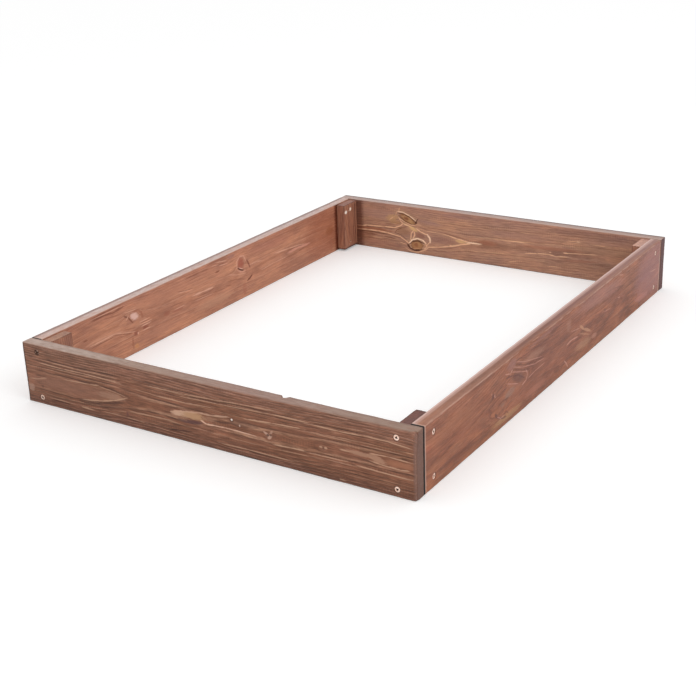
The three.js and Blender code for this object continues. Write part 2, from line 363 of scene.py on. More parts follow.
# %% Screw places
SCREW_NAMES = sorted(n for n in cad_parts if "_screw_" in n)
screw_heads = []
for name in SCREW_NAMES:
    low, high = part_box(name)
    middle = (low + high) / 2
    axis = 0 if (high - low)[0] > (high - low)[1] else 1
    drive = Vector((0.0, 0.0, 0.0))
    drive[axis] = -1.0 if middle[axis] > 0 else 1.0
    head = middle.copy()
    head[axis] = high[axis] if middle[axis] > 0 else low[axis]
    screw_heads.append((head, drive))
places = bpy.data.meshes.new("screw places")
places.from_pydata([head for head, _ in screw_heads], [], [])
point_values(places, "drive", "FLOAT_VECTOR", [drive for _, drive in screw_heads])
GRIMY = {"front_screw_left_upper": 1.0, "front_screw_left_lower": 0.25, "back_screw_left_upper": 0.6}
point_values(places, "grime", "FLOAT", [GRIMY.get(name, 0.0) for name in SCREW_NAMES])
screw_places = bpy.data.objects.new("screw places", places)
screw_length = max(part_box(SCREW_NAMES[0])[1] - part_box(SCREW_NAMES[0])[0])
print("screws:", len(screw_heads), "of", round(screw_length * 1000, 1), "mm")

# %% [markdown]
# A turned shape is a profile swept round an axis. The screw and the hole that it is driven into are both
# turned, so one function closes a profile into a solid. The drive direction is the local +Z. The hole is a
# little wider than the screw all round, so that the two never cross.

# %% Turned solids
def turned(name, profile, sides, radius_at=None):
    """A closed solid of revolution round Z from (radius, height) pairs in metres. radius_at adds a thread."""
    mesh = bpy.data.meshes.new(name)
    form = bmesh.new()
    rings = []
    for row, (radius, height) in enumerate(profile):
        ring = []
        for side in range(sides):
            angle = 2 * math.pi * side / sides
            reach = radius_at(radius, height, angle) if radius_at else radius
            ring.append(form.verts.new((reach * math.cos(angle), reach * math.sin(angle), height)))
        rings.append(ring)
    for upper, lower in zip(rings, rings[1:]):
        for side in range(sides):
            after = (side + 1) % sides
            form.faces.new((upper[side], upper[after], lower[after], lower[side]))
    form.faces.new(list(reversed(rings[0])))
    form.faces.new(rings[-1])
    bmesh.ops.recalc_face_normals(form, faces=form.faces)
    form.to_mesh(mesh)
    form.free()
    return bpy.data.objects.new(name, mesh)


SEAT_RADIUS = 4.62 * MM
SEAT_TOP, SEAT_RIM, SEAT_FLOOR = -3.0 * MM, 0.45 * MM, 2.9 * MM
BORE_RADIUS = 2.35 * MM
BORE_TIP_RADIUS, BORE_TIP = 0.4 * MM, 2.2 * MM
bore_end = screw_length - 1.5 * MM
seat_profile = [(SEAT_RADIUS, SEAT_TOP), (SEAT_RADIUS, SEAT_RIM), (BORE_RADIUS, SEAT_FLOOR),
                (BORE_RADIUS, bore_end), (BORE_TIP_RADIUS, bore_end + BORE_TIP)]
screw_bore = turned("screw bore", seat_profile, 24)
print("screw bore:", len(screw_bore.data.polygons), "faces")

# %% [markdown]
# ## Planed timber
#
# Boards and posts are all one kind of thing: a sawn and planed length with softened arrises, so one
# Geometry Nodes recipe makes them. It starts from a cube grid, crowds rows to the edges, and rounds the
# edges by pulling every vertex to a fixed distance from a smaller inner box. The rounding grows where bark
# or wear took the arris away (wane). Then the winter rings and knots are raised by a tenth or two of a
# millimetre, as a planed and weathered softwood face really is, and the screw bores and chips are cut out
# by a boolean.

# %% Timber recipe
EDGE_ROWS = 3  # of vertices round each edge
CRUMBLES_ALONG, CRUMBLE = 14.0, 0.4  # how often the arris crumbles in half a length, and by what share
FAR_END = (0.955, 0.995)  # where the worn far end begins and is full, from -1 to 1 along the timber
YEAR_RIDGE = [(0, -0.4), (0.12, -0.7), (0.7, 0.1), (0.88, 1.0), (1, -0.4)]  # (part of a year, height)
KNOT_BOSS, DENT_DEPTH = 1.6, 1.6  # heights in the same measure, which the relief turns into mm
DENT_REACH = (60, 15, 18)
TIMBER_FOLD = 38  # degrees


def timber_recipe(name, log, wane):
    """A Geometry Nodes tree for one timber; wane is (w, radius in mm) along its show-side top arris."""
    tree, given = new_recipe(name, Size="Vector", Rows="Vector", Arris="Float", End_wane="Float", Bow="Float",
                             Relief="Float", Corner="Vector", Turn="Vector", Screws="Object", Bore="Object",
                             Chips="Object", Finish="Material")

    # the cube grid, from -1 to 1 on each axis
    rows = add(tree, "ShaderNodeSeparateXYZ", {0: given["Rows"]}).node.outputs
    counts = [add(tree, MATH, {0: row, 1: 1.0}, operation="ADD") for row in rows]
    grid = add(tree, "GeometryNodeMeshCube", {
        "Size": (2, 2, 2), "Vertices X": counts[0], "Vertices Y": counts[1], "Vertices Z": counts[2]})
    even = add(tree, "GeometryNodeInputPosition")
    half = add(tree, VECTOR, {0: given["Size"], "Scale": 0.5}, operation="SCALE")

    # how much wood is gone from the arris: wane, the worn far end, and a crumbling all along
    t = add(tree, "ShaderNodeSeparateXYZ", {0: even}).node.outputs
    size = add(tree, "ShaderNodeSeparateXYZ", {0: given["Size"]}).node.outputs
    w = add(tree, RANGE, {0: t[0], 1: -1.0, 2: 1.0, 3: 0.0, 4: size[0]})
    loss = bend_curve(add(tree, CURVE, {"Value": w}), wane, "AUTO")
    top = add(tree, RANGE, {0: t[2], 1: 0.0, 2: 0.9}, interpolation_type="SMOOTHSTEP")
    show = add(tree, RANGE, {0: t[1], 1: 0.0, 2: -0.9}, interpolation_type="SMOOTHSTEP")
    share = add(tree, MATH, {0: top, 1: show}, operation="MULTIPLY")
    crumble_at = add(tree, VECTOR, {0: even, 1: (CRUMBLES_ALONG, 1.0, 1.0), 2: (log["seed"],) * 3},
                     operation="MULTIPLY_ADD")
    crumble = add(tree, NOISE, {"Vector": crumble_at, "Scale": 1.0, "Detail": 3.0})
    uneven = add(tree, RANGE, {0: crumble, 1: 0.3, 2: 0.7, 3: 1 - CRUMBLE, 4: 1 + CRUMBLE})
    arris = add(tree, MATH, {0: loss, 1: share, 2: given["Arris"]}, operation="MULTIPLY_ADD")
    far = add(tree, RANGE, {0: t[0], 1: FAR_END[0], 2: FAR_END[1]}, interpolation_type="SMOOTHSTEP")
    far = add(tree, MATH, {0: far, 1: show}, operation="MULTIPLY")
    arris = add(tree, MATH, {0: far, 1: given["End wane"], 2: arris}, operation="MULTIPLY_ADD")
    arris = add(tree, MATH, {0: arris, 1: uneven}, operation="MULTIPLY")

    # rows crowd to the edges, and every vertex is pulled to the arris's distance from a smaller inner box
    crowd = add(tree, VECTOR, {0: (2 * EDGE_ROWS,) * 3, 1: given["Rows"]}, operation="DIVIDE")
    start = add(tree, VECTOR, {0: (1, 1, 1), 1: crowd}, operation="SUBTRACT")
    plain = add(tree, VECTOR, {0: even}, operation="ABSOLUTE")
    side = add(tree, VECTOR, {0: even}, operation="SIGN")
    inner = add(tree, VECTOR, {0: plain, 1: start}, operation="MINIMUM")
    inner = add(tree, VECTOR, {0: inner, 1: start}, operation="DIVIDE")
    core = add(tree, VECTOR, {0: half, 1: arris}, operation="SUBTRACT")
    inner = add(tree, VECTOR, {0: inner, 1: core}, operation="MULTIPLY")
    outer = add(tree, VECTOR, {0: plain, 1: start}, operation="SUBTRACT")
    outer = add(tree, VECTOR, {0: outer, 1: (0, 0, 0)}, operation="MAXIMUM")
    outer = add(tree, VECTOR, {0: outer, 1: crowd}, operation="DIVIDE")
    outer = add(tree, VECTOR, {0: outer, 1: arris}, operation="MULTIPLY")
    box = add(tree, VECTOR, {0: inner, 1: outer}, operation="ADD")
    kept = add(tree, VECTOR, {0: box, 1: core}, operation="MINIMUM")
    proud = add(tree, VECTOR, {0: box, 1: kept}, operation="SUBTRACT")
    way = add(tree, VECTOR, {0: proud}, operation="NORMALIZE")
    rounded = add(tree, VECTOR, {0: way, 1: arris, 2: kept}, operation="MULTIPLY_ADD")
    rounded = add(tree, VECTOR, {0: rounded, 1: side, 2: half}, operation="MULTIPLY_ADD")
    shaped = add(tree, "GeometryNodeSetPosition", {"Geometry": grid, "Position": rounded})

    # winter rings and knots stand proud, and the planer and the weather left shallow dents
    here = add(tree, "GeometryNodeInputPosition")
    ring, knot, w, v, u = growth_rings(tree, here, log)
    year = add(tree, MATH, {0: ring}, operation="FRACT")
    ridge = bend_curve(add(tree, CURVE, {"Value": year}), YEAR_RIDGE)
    boss = add(tree, RANGE, {0: knot, 1: 0.85, 2: 1.15, 3: KNOT_BOSS, 4: 0.0},
               interpolation_type="SMOOTHSTEP")
    raised = add(tree, MATH, {0: ridge, 1: boss}, operation="ADD")
    dents = pattern(tree, here, DENT_REACH, (log["seed"], 5, 9), 3.0)
    dents = add(tree, RANGE, {0: dents, 1: 0.2, 2: 0.8, 3: -DENT_DEPTH, 4: DENT_DEPTH})
    raised = add(tree, MATH, {0: raised, 1: dents}, operation="ADD")
    raised = add(tree, MATH, {0: raised, 1: given["Relief"]}, operation="MULTIPLY")
    normal = add(tree, "GeometryNodeInputNormal")
    push = add(tree, VECTOR, {0: normal, "Scale": raised}, operation="SCALE")

    # the whole length bows a little, as sawn boards do when they dry
    length_share = add(tree, MATH, {0: w, 1: size[0]}, operation="DIVIDE")
    arc = add(tree, MATH, {0: length_share, 1: math.pi}, operation="MULTIPLY")
    arc = add(tree, MATH, {0: arc}, operation="SINE")
    bow = add(tree, MATH, {0: arc, 1: given["Bow"]}, operation="MULTIPLY")
    bowed = add(tree, "ShaderNodeCombineXYZ", {1: bow})
    push = add(tree, VECTOR, {0: push, 1: bowed}, operation="ADD")
    grained = add(tree, "GeometryNodeSetPosition", {"Geometry": shaped, "Offset": push})
    placed = add(tree, "GeometryNodeTransform", {"Geometry": grained, "Translation": given["Corner"],
                                                "Rotation": given["Turn"], "Scale": (MM, MM, MM)})

    # the bores and the chips are cut out
    points = add(tree, "GeometryNodeObjectInfo", {"Object": given["Screws"]}, out="Geometry")
    bore = add(tree, "GeometryNodeObjectInfo", {"Object": given["Bore"]}, out="Geometry")
    drive = add(tree, "GeometryNodeInputNamedAttribute", {"Name": "drive"}, data_type="FLOAT_VECTOR")
    aim = add(tree, "FunctionNodeAlignRotationToVector", {"Vector": drive}, axis="Z")
    bores = add(tree, "GeometryNodeInstanceOnPoints", {"Points": points, "Instance": bore, "Rotation": aim})
    bores = add(tree, "GeometryNodeRealizeInstances", {"Geometry": bores})
    chips = add(tree, "GeometryNodeObjectInfo", {"Object": given["Chips"]}, out="Geometry")
    cut = placed
    for tools in (bores, chips):
        cut = add(tree, "GeometryNodeMeshBoolean", {"Mesh 1": cut, "Mesh 2": tools}, operation="DIFFERENCE",
                  solver="MANIFOLD")
    close_recipe(tree, cut, given["Finish"], TIMBER_FOLD)
    return tree


def run_recipe(name, tree, values):
    """Runs a Geometry Nodes tree with its named inputs set, and returns the result as a plain mesh object."""
    blank = bpy.data.objects.new(name + " recipe", bpy.data.meshes.new(name + " recipe"))
    bpy.context.scene.collection.objects.link(blank)
    maker = blank.modifiers.new("recipe", "NODES")
    maker.node_group = tree
    for item in tree.interface.items_tree:
        if item.in_out == "INPUT" and item.name in values:
            maker[item.identifier] = values[item.name]
    blank.update_tag()
    depsgraph = bpy.context.evaluated_depsgraph_get()
    mesh = bpy.data.meshes.new_from_object(blank.evaluated_get(depsgraph), depsgraph=depsgraph)
    bpy.data.objects.remove(blank)
    piece = bpy.data.objects.new(name, mesh)
    mesh.name = name
    bpy.context.scene.collection.objects.link(piece)
    return piece

# %% [markdown]
# ## Stained pine
#
# The boards are softwood with a brown water stain, wiped on and left open. Stain soaks into the soft spring
# wood and slides off the dense summer wood, so each year shows as a dark line beside a pale one. The finish
# is built in that order: the year's colour, its strength from year to year and along the board, fibres,
# blotches of stain, knots, then local marks and the wear on the arrises. Wood is a plain dielectric with an
# IOR near 1.5, and a dry stain leaves it half matt, with a roughness near 0.45.
#
# A board carries up to 140 marks. Their group passes plain numbers only, no vectors and no clamps,
# because the renderer has a small store for the values that wait, and a board whose finish overflows it
# turns black.

# %% A mark in the stain
MARK_CORE, MARK_FADE = 1.4, -1.25  # the cover at the middle, cut off at 1, and its loss out to the rim
MARK_INPUTS = ("Along", "Up", "Fray", "X along", "X up", "X start", "Z along", "Z up", "Z start", "Share")


def mark_group():
    """A node group that lays one frayed oval over the wood. X and Z are 1 at its tips and sides."""
    tree = bpy.data.node_groups.new("mark in the stain", "ShaderNodeTree")
    tree.interface.new_socket("Wood", in_out="OUTPUT", socket_type="NodeSocketColor")
    for label in ("Wood", "Colour"):
        tree.interface.new_socket(label, in_out="INPUT", socket_type="NodeSocketColor")
    for label in MARK_INPUTS:
        tree.interface.new_socket(label, in_out="INPUT", socket_type="NodeSocketFloat")
    given = add(tree, "NodeGroupInput").node.outputs

    def total(a, b, c):
        return add(tree, MATH, {0: a, 1: b, 2: c}, operation="MULTIPLY_ADD")

    x = total(given["Along"], given["X along"], total(given["Up"], given["X up"], given["X start"]))
    z = total(given["Along"], given["Z along"], total(given["Up"], given["Z up"], given["Z start"]))
    away = total(z, z, total(x, x, given["Fray"]))
    cover = add(tree, MATH, {0: total(away, MARK_FADE, MARK_CORE), 1: 1.0}, operation="MINIMUM")
    cover = add(tree, MATH, {0: cover, 1: given["Share"]}, operation="MULTIPLY")
    wood = add(tree, MIX, {0: cover, 6: given["Wood"], 7: given["Colour"]}, out=2, data_type="RGBA")
    tree.links.new(wood, tree.nodes.new("NodeGroupOutput").inputs["Wood"])
    return tree


STAIN_MARK = mark_group()
print("mark in the stain:", len(STAIN_MARK.nodes), "nodes")

# %% Stained pine recipe
WOOD_IOR = 1.5
OPEN_FIBRES = 0.3  # open fibres scatter most of the gloss
# reaches along, into and up the timber, steps, rings and blurs are all in mm
FIBRE_REACH, FRAY_REACH, RUB_REACH, SHEEN_BLOTCH_REACH = (22, 1.5, 1.5), (9, 2.5, 2.0), (22, 3, 3), (14, 6, 6)
BLOTCH_REACH, CLOUD_REACH, RIPPLED_REACH = (110, 26, 26), (40, 14, 9), (70, 20, 12)
YEAR_FADE_REACH, STREAK_REACH, STREAKS_IN_A_YEAR = 80, 40, 2.4
KNIFE_STEP = 4.6
KNOT_RINGS = 2.6  # from its middle to its rim
SEAT_RING = 5.4
JOINT_STAIN_AND_SHADE, JOINT_BLUR = "#150b08", 0.8


def stained_pine(name, log, tones, corner, turn, size, contrast, marks=(), screw_inset=None, joint=0.0,
                 post_side=None):
    """A finish for one timber. marks are (w, u, half length, half height, tilt, colour, share)."""
    finish, tree = new_finish(name)
    length, thick, high = size
    seed = log["seed"]
    where = add(tree, "ShaderNodeTexCoord", out="Object")
    place = add(tree, "ShaderNodeMapping", {"Vector": where, "Location": corner, "Rotation": turn,
                                            "Scale": (MM, MM, MM)}, vector_type="TEXTURE")
    ring, knot, w, v, u = growth_rings(tree, place, log)

    def noise(reach, detail, roughness=0.5, move=(0.0, 0.0, 0.0)):
        """A pattern of this timber's own."""
        return pattern(tree, place, reach, [m + seed for m in move], detail, roughness)

    def blend(share, under, over):
        """Lays one colour over another."""
        over = linear(over) if isinstance(over, str) else over
        under = linear(under) if isinstance(under, str) else under
        return add(tree, MIX, {0: share, 6: under, 7: over}, out=2, data_type="RGBA")

    def tinted(share, colour, tint):
        """Multiplies a colour by a tint."""
        return add(tree, MIX, {0: share, 6: colour, 7: (*tint, 1.0)}, out=2, data_type="RGBA",
                   blend_type="MULTIPLY", clamp_factor=True)

    def lit(colour, level):
        """Makes a colour darker or brighter."""
        return add(tree, "ShaderNodeHueSaturation", {"Color": colour, "Value": level})

    def from_middle(value, whole):
        """The distance of a value from the middle of a whole."""
        off = add(tree, MATH, {0: value, 1: whole / 2}, operation="SUBTRACT")
        return add(tree, MATH, {0: off}, operation="ABSOLUTE")

    # the year's colour, from the first spring wood to the summer wood
    year = add(tree, MATH, {0: ring}, operation="FRACT")
    dark, body, pale = tones["dark"], tones["body"], tones["pale"]
    band = ramp(tree, year, (0.0, dark), (0.14, dark), (0.36, body), (0.66, body), (0.80, pale), (0.94, pale),
                (1.0, dark))
    whole = add(tree, MATH, {0: ring}, operation="FLOOR")
    luck = add(tree, "ShaderNodeTexWhiteNoise", {"W": whole}, noise_dimensions="1D")
    luck = add(tree, RANGE, {0: luck, 3: 0.3, 4: 1.0})
    along = add(tree, MATH, {0: w, 1: 1 / YEAR_FADE_REACH}, operation="MULTIPLY")
    fade = add(tree, NOISE, {"Vector": add(tree, "ShaderNodeCombineXYZ", {0: along, 1: whole, 2: seed}),
                             "Scale": 1.0, "Detail": 3.0})
    fade = add(tree, RANGE, {0: fade, 1: 0.35, 2: 0.62, 3: 0.15, 4: 1.0})
    strength = add(tree, MATH, {0: luck, 1: fade}, operation="MULTIPLY")
    strength = add(tree, MATH, {0: strength, 1: contrast}, operation="MULTIPLY")
    wood = blend(strength, body, band)

    # streaks that follow the rings: bundles of fibres that took more stain or less
    across = add(tree, MATH, {0: ring, 1: STREAKS_IN_A_YEAR}, operation="MULTIPLY")
    along = add(tree, MATH, {0: w, 1: 1 / STREAK_REACH}, operation="MULTIPLY")
    streak = add(tree, NOISE, {"Vector": add(tree, "ShaderNodeCombineXYZ", {0: along, 1: across, 2: seed}),
                               "Scale": 1.0, "Detail": 4.0, "Roughness": 0.62})
    crowded = add(tree, RANGE, {0: from_middle(u, high), 1: 8.0, 2: 26.0, 3: 0.2, 4: tones["streak"]},
                  interpolation_type="SMOOTHSTEP")
    low_side = add(tree, RANGE, {0: streak, 1: 0.47, 2: 0.30})
    high_side = add(tree, RANGE, {0: streak, 1: 0.54, 2: 0.74})
    wood = blend(add(tree, MATH, {0: low_side, 1: crowded}, operation="MULTIPLY"), wood, dark)
    wood = blend(add(tree, MATH, {0: high_side, 1: crowded}, operation="MULTIPLY"), wood, pale)

    # fibres: fine streaks about a millimetre wide and a few centimetres long, and short open pores
    fibre = noise(FIBRE_REACH, 5.0, 0.7)
    level = add(tree, RANGE, {0: fibre, 1: 0.3, 2: 0.7, 3: 1 - tones["fibre"], 4: 1 + tones["fibre"]})
    wood = lit(wood, level)
    fray = add(tree, RANGE, {0: noise(FRAY_REACH, 3.0, 0.65, (5, 0, 0)), 1: 0.3, 2: 0.7, 3: -0.4, 4: 0.4})

    # stain lies in blotches a hand wide
    blotch = add(tree, RANGE, {0: noise(BLOTCH_REACH, 3.0, 0.55, (0, 7, 1)), 1: 0.36, 2: 0.64})
    wood = tinted(blotch, wood, tones["blotch"])
    cloud = add(tree, RANGE, {0: noise(CLOUD_REACH, 3.0, 0.6, (3, 1, 8)), 1: 0.36, 2: 0.64})
    wood = tinted(cloud, wood, tones["cloud"])

    # the upper and the lower edge take tints of their own, in bands with frayed borders
    creep = add(tree, MATH, {0: fray, 1: 14.0, 2: u}, operation="MULTIPLY_ADD")
    wood = tinted(add(tree, RANGE, {0: creep, 1: 72.0, 2: 98.0}), wood, tones["crown"])
    wood = tinted(add(tree, RANGE, {0: creep, 1: 22.0, 2: 2.0}), wood, tones["foot"])

    # the planer's knives leave shallow ripples across the grain
    chatter = add(tree, MATH, {0: w, 1: 2 * math.pi / KNIFE_STEP}, operation="MULTIPLY")
    chatter = add(tree, MATH, {0: fray, 1: 3.0, 2: chatter}, operation="MULTIPLY_ADD")
    chatter = add(tree, MATH, {0: chatter}, operation="SINE")
    patchy = noise(RIPPLED_REACH, 1.0, 0.5, (9, 9, 2))
    patchy = add(tree, RANGE, {0: patchy, 1: 0.52, 2: 0.68, 3: 0.0, 4: tones["chatter"]})
    chatter = add(tree, MATH, {0: chatter, 1: patchy, 2: 1.0}, operation="MULTIPLY_ADD")
    wood = lit(wood, chatter)

    # knots: their own rings, a ragged rim of bark, and a pale halo where the grain turns round them
    if log["knots"]:
        whirl = add(tree, MATH, {0: knot, 1: KNOT_RINGS}, operation="MULTIPLY")
        whirl = add(tree, MATH, {0: fray, 1: 1.2, 2: whirl}, operation="MULTIPLY_ADD")
        whirl = add(tree, MATH, {0: whirl, 1: 1.0}, operation="PINGPONG")
        heart = blend(whirl, tones["knot"], tones["knot_pale"])
        wood = blend(add(tree, RANGE, {0: knot, 1: 1.15, 2: 1.7, 3: tones["halo"], 4: 0.0}), wood, pale)
        rim = add(tree, RANGE, {0: knot, 1: 1.02, 2: 1.14, 3: 1.0, 4: 0.0})
        broken = add(tree, RANGE, {0: cloud, 3: tones["bark"], 4: 0.25 * tones["bark"]})
        wood = blend(add(tree, MATH, {0: rim, 1: broken}, operation="MULTIPLY"), wood, tones["rim"])
        inside = add(tree, RANGE, {0: knot, 1: 0.84, 2: 0.98, 3: 0.9 * tones["bark"], 4: 0.0})
        wood = blend(inside, wood, heart)

    # local marks: veins, flames and patches that the stain took differently
    wavy = add(tree, MATH, {0: fray, 1: 0.5, 2: u}, operation="MULTIPLY_ADD")
    for mw, mu, half_length, half_height, tilt, colour, share in marks:
        c, s = math.cos(math.radians(tilt)), math.sin(math.radians(tilt))
        wood = add(tree, "ShaderNodeGroup", {
            "Wood": wood, "Along": w, "Up": wavy, "Fray": fray, "Colour": linear(colour), "Share": share,
            "X along": c / half_length, "X up": s / half_length, "X start": -(mw * c + mu * s) / half_length,
            "Z along": -s / half_height, "Z up": c / half_height, "Z start": (mw * s - mu * c) / half_height},
            node_tree=STAIN_MARK)

    # painted shade: the show face is darkened beside a post, where the post shades it
    if post_side:
        middle, reach = post_side
        shaded_beside_post = from_middle(w, 2 * middle)
        shaded_beside_post = add(tree, MATH, {0: fray, 1: 4.0, 2: shaded_beside_post}, operation="MULTIPLY_ADD")
        shaded_beside_post = add(tree, RANGE, {0: shaded_beside_post, 1: 0.5 * reach, 2: 1.1 * reach, 3: 1.0, 4: 0.0})
        shallow = add(tree, RANGE, {0: v, 1: 2.0, 2: 5.0, 3: 1.0, 4: 0.0})
        shaded_beside_post = add(tree, MATH, {0: shaded_beside_post, 1: shallow}, operation="MULTIPLY")
        wood = tinted(shaded_beside_post, wood, tones["post_side"])

    # distance to the nearest arris: the middle one of the distances to the three pairs of faces
    to_end, to_face, to_edge = [
        add(tree, MATH, {0: whole / 2, 1: from_middle(value, whole)}, operation="SUBTRACT")
        for value, whole in ((w, length), (v, thick), (u, high))]
    low_pair = add(tree, MATH, {0: to_face, 1: to_edge}, operation="MINIMUM")
    high_pair = add(tree, MATH, {0: to_face, 1: to_edge}, operation="MAXIMUM")
    arris = add(tree, MATH, {0: high_pair, 1: to_end}, operation="MINIMUM")
    arris = add(tree, MATH, {0: arris, 1: low_pair}, operation="MAXIMUM")

    # painted sheen and painted shade: the top edge is coloured lighter and greyer, in blotches, as light from
    # above and the white sky show it; its rails are painted highlight and painted shade lines along its
    # arrises, the pale one at the show face partly wear
    if "top" in tones:
        upper = add(tree, RANGE, {0: u, 1: high - 1.6, 2: high - 0.5, 3: 0.0, 4: tones["top_sheen_share"]})
        sheen_blotch = add(tree, RANGE, {0: noise(SHEEN_BLOTCH_REACH, 4.0, 0.65, (1, 4, 2)), 1: 0.3, 2: 0.7, 3: 0.45, 4: 1.2})
        shade = ramp(tree, add(tree, MATH, {0: w, 1: 1 / length}, operation="MULTIPLY"), *tones["top"])
        wood = blend(add(tree, MATH, {0: upper, 1: sheen_blotch}, operation="MULTIPLY"), wood, shade)
        for start, full, share, colour in tones["sheen_and_shade_rails"]:
            rail = add(tree, RANGE, {0: v, 1: start, 2: full, 3: 0.0, 4: share})
            wood = blend(add(tree, MATH, {0: upper, 1: rail}, operation="MULTIPLY"), wood, colour)

    # the arrises get a band in broken lines: on the boards a pale one, stain rubbed off by handling together
    # with painted sheen, and on the posts a dark one, which is painted shade
    rub = noise(RUB_REACH, 4.0, 0.6, (2, 0, 4))
    rub = add(tree, RANGE, {0: rub, 1: 0.3, 2: 0.7, 3: -1.3, 4: 1.3})
    arris_wear_and_light = add(tree, MATH, {0: arris, 1: rub}, operation="ADD")
    wear = add(tree, RANGE, {0: arris_wear_and_light, 1: 0.2, 2: 1.9, 3: tones["wear"], 4: 0.0})
    wood = blend(wear, wood, tones["arris_wear_and_light"])

    # end grain drinks more stain, and on the posts' tops the end tint also carries painted light and painted
    # shade; where a board butts against another, the joint is painted black, a painted shade of the narrow gap
    # with stain in it, beside a pale arris, rubbed and with painted sheen
    end_grain = add(tree, RANGE, {0: to_end, 1: 0.15, 2: 0.9, 3: 1.0, 4: 0.0})
    wood = tinted(end_grain, wood, tones["end"])
    if joint:
        rubbed = add(tree, RANGE, {0: to_end, 1: joint + 2.2, 2: joint + 3.6, 3: 0.45, 4: 0.0})
        wood = blend(rubbed, wood, tones["arris_wear_and_light"])
        black = add(tree, RANGE, {0: to_end, 1: joint, 2: joint + JOINT_BLUR, 3: 1.0, 4: 0.0})
        wood = blend(black, wood, JOINT_STAIN_AND_SHADE)

    # crushed wood round the screw heads, the same distance in from both ends
    if screw_inset:
        from_end, lower_row, upper_row = screw_inset
        side_w = add(tree, MATH, {0: to_end, 1: from_end}, operation="SUBTRACT")
        side_u = add(tree, MATH, {0: from_middle(u, upper_row + lower_row), 1: (upper_row - lower_row) / 2},
                     operation="SUBTRACT")
        span = add(tree, "ShaderNodeCombineXYZ", {0: side_w, 2: side_u})
        span = add(tree, VECTOR, {0: span}, out=1, operation="LENGTH")
        span = add(tree, MATH, {0: span, 1: fray}, operation="ADD")
        crushed = add(tree, RANGE, {0: span, 1: SEAT_RING - 1.0, 2: SEAT_RING, 3: 0.75, 4: 0.0})
        wood = blend(crushed, wood, dark)

    # gloss and fine relief: summer wood is smoother and stands proud, pores and fibres are open
    gloss = add(tree, RANGE, {0: fibre, 1: 0.3, 2: 0.7, 3: 0.55, 4: 0.42})
    gloss = add(tree, MATH, {0: wear, 1: 0.15, 2: gloss}, operation="MULTIPLY_ADD")
    swell = add(tree, MATH, {0: year, 1: 3.0}, operation="POWER")
    relief = add(tree, MATH, {0: swell, 1: strength, 2: fibre}, operation="MULTIPLY_ADD")
    bump = add(tree, BUMP, {"Strength": 0.9, "Distance": 0.35 * MM, "Height": relief})
    surface(tree, add(tree, PRINCIPLED, {"Base Color": wood, "Roughness": gloss, "Normal": bump,
                                         "IOR": WOOD_IOR, "Specular IOR Level": OPEN_FIBRES}))
    return finish


# %% [markdown]
# ## The four boards
#
# Each board takes its size and corner from its own node in the frame. The front and back boards run along
# X, and the side boards are the same board turned a quarter round, so that their grain runs along Y. The
# show face is the one that the eye meets first: outside on the front and right boards, inside on the back
# and left ones.
#
# A colour is a hex value, and a tint is what red, green and blue are multiplied by. "top" is a painted sheen
# that colours the top edge along the board, and each of its rails is a band across it, a painted highlight or
# painted shade line, from where it starts to where it is full, in mm from the show face, with its share and
# its colour.

# %% Tones of the boards and posts
FRONT_TONES = dict(
    body="#905e47", dark="#43271d", pale="#c2957a", streak=0.46, fibre=0.56, blotch=(0.80, 0.77, 0.70),
    cloud=(0.82, 0.78, 0.74), crown=(1.02, 1.10, 1.24), foot=(0.74, 0.74, 0.82), chatter=0.10, knot="#6b4032",
    knot_pale="#a8775c", rim="#42251c", bark=0.35, halo=0.1, arris_wear_and_light="#a98470", wear=0.35, end=(0.72, 0.66, 0.62),
    top=[(0.0, "#c4ada1"), (0.16, "#bea89b"), (0.35, "#a48979"), (0.6, "#a4867b"), (1.0, "#998070")],
    top_sheen_share=0.85,
    sheen_and_shade_rails=[(15.5, 17.0, 0.35, "#6b5046")])
BACK_TONES = dict(
    body="#c08c6e", dark="#7a4c38", pale="#dba980", streak=0.34, fibre=0.34, blotch=(0.80, 0.84, 0.94),
    cloud=(0.88, 0.86, 0.90), crown=(0.97, 0.95, 1.02), foot=(0.93, 0.94, 0.97), chatter=0.08, knot="#93603c",
    knot_pale="#bf8f62", rim="#5a3524", bark=1.0, post_side=(0.42, 0.32, 0.30), halo=0.25, arris_wear_and_light="#c9aa9c",
    wear=0.6, end=(0.17, 0.06, 0.08),
    top=[(0.0, "#b39e97"), (1.0, "#a58f88")], top_sheen_share=0.85,
    sheen_and_shade_rails=[(4.5, 3.0, 0.35, "#d8bfb4"), (12.5, 16.5, 0.9, "#3b2023")])
RIGHT_TONES = dict(
    body="#935a40", dark="#5d2f23", pale="#b67b58", streak=0.06, fibre=0.22, blotch=(0.52, 0.45, 0.42),
    cloud=(1.30, 1.19, 1.06), crown=(0.98, 1.0, 1.06), foot=(1.05, 1.1, 1.0), chatter=0.0, knot="#6b3528",
    knot_pale="#97624a", rim="#5a2f24", bark=0.2, halo=0.1, arris_wear_and_light="#dcb6a6", wear=0.3, end=(0.85, 0.85, 0.85),
    top=[(0.0, "#a87359"), (0.16, "#96664f"), (0.36, "#76493b"), (0.6, "#80534a"), (1.0, "#9a726a")],
    top_sheen_share=0.85,
    sheen_and_shade_rails=[(7.5, 4.5, 0.75, "#99664f"), (11.0, 13.5, 0.5, "#d9b1a5"), (15.5, 17.5, 0.6, "#e6c9c1")])
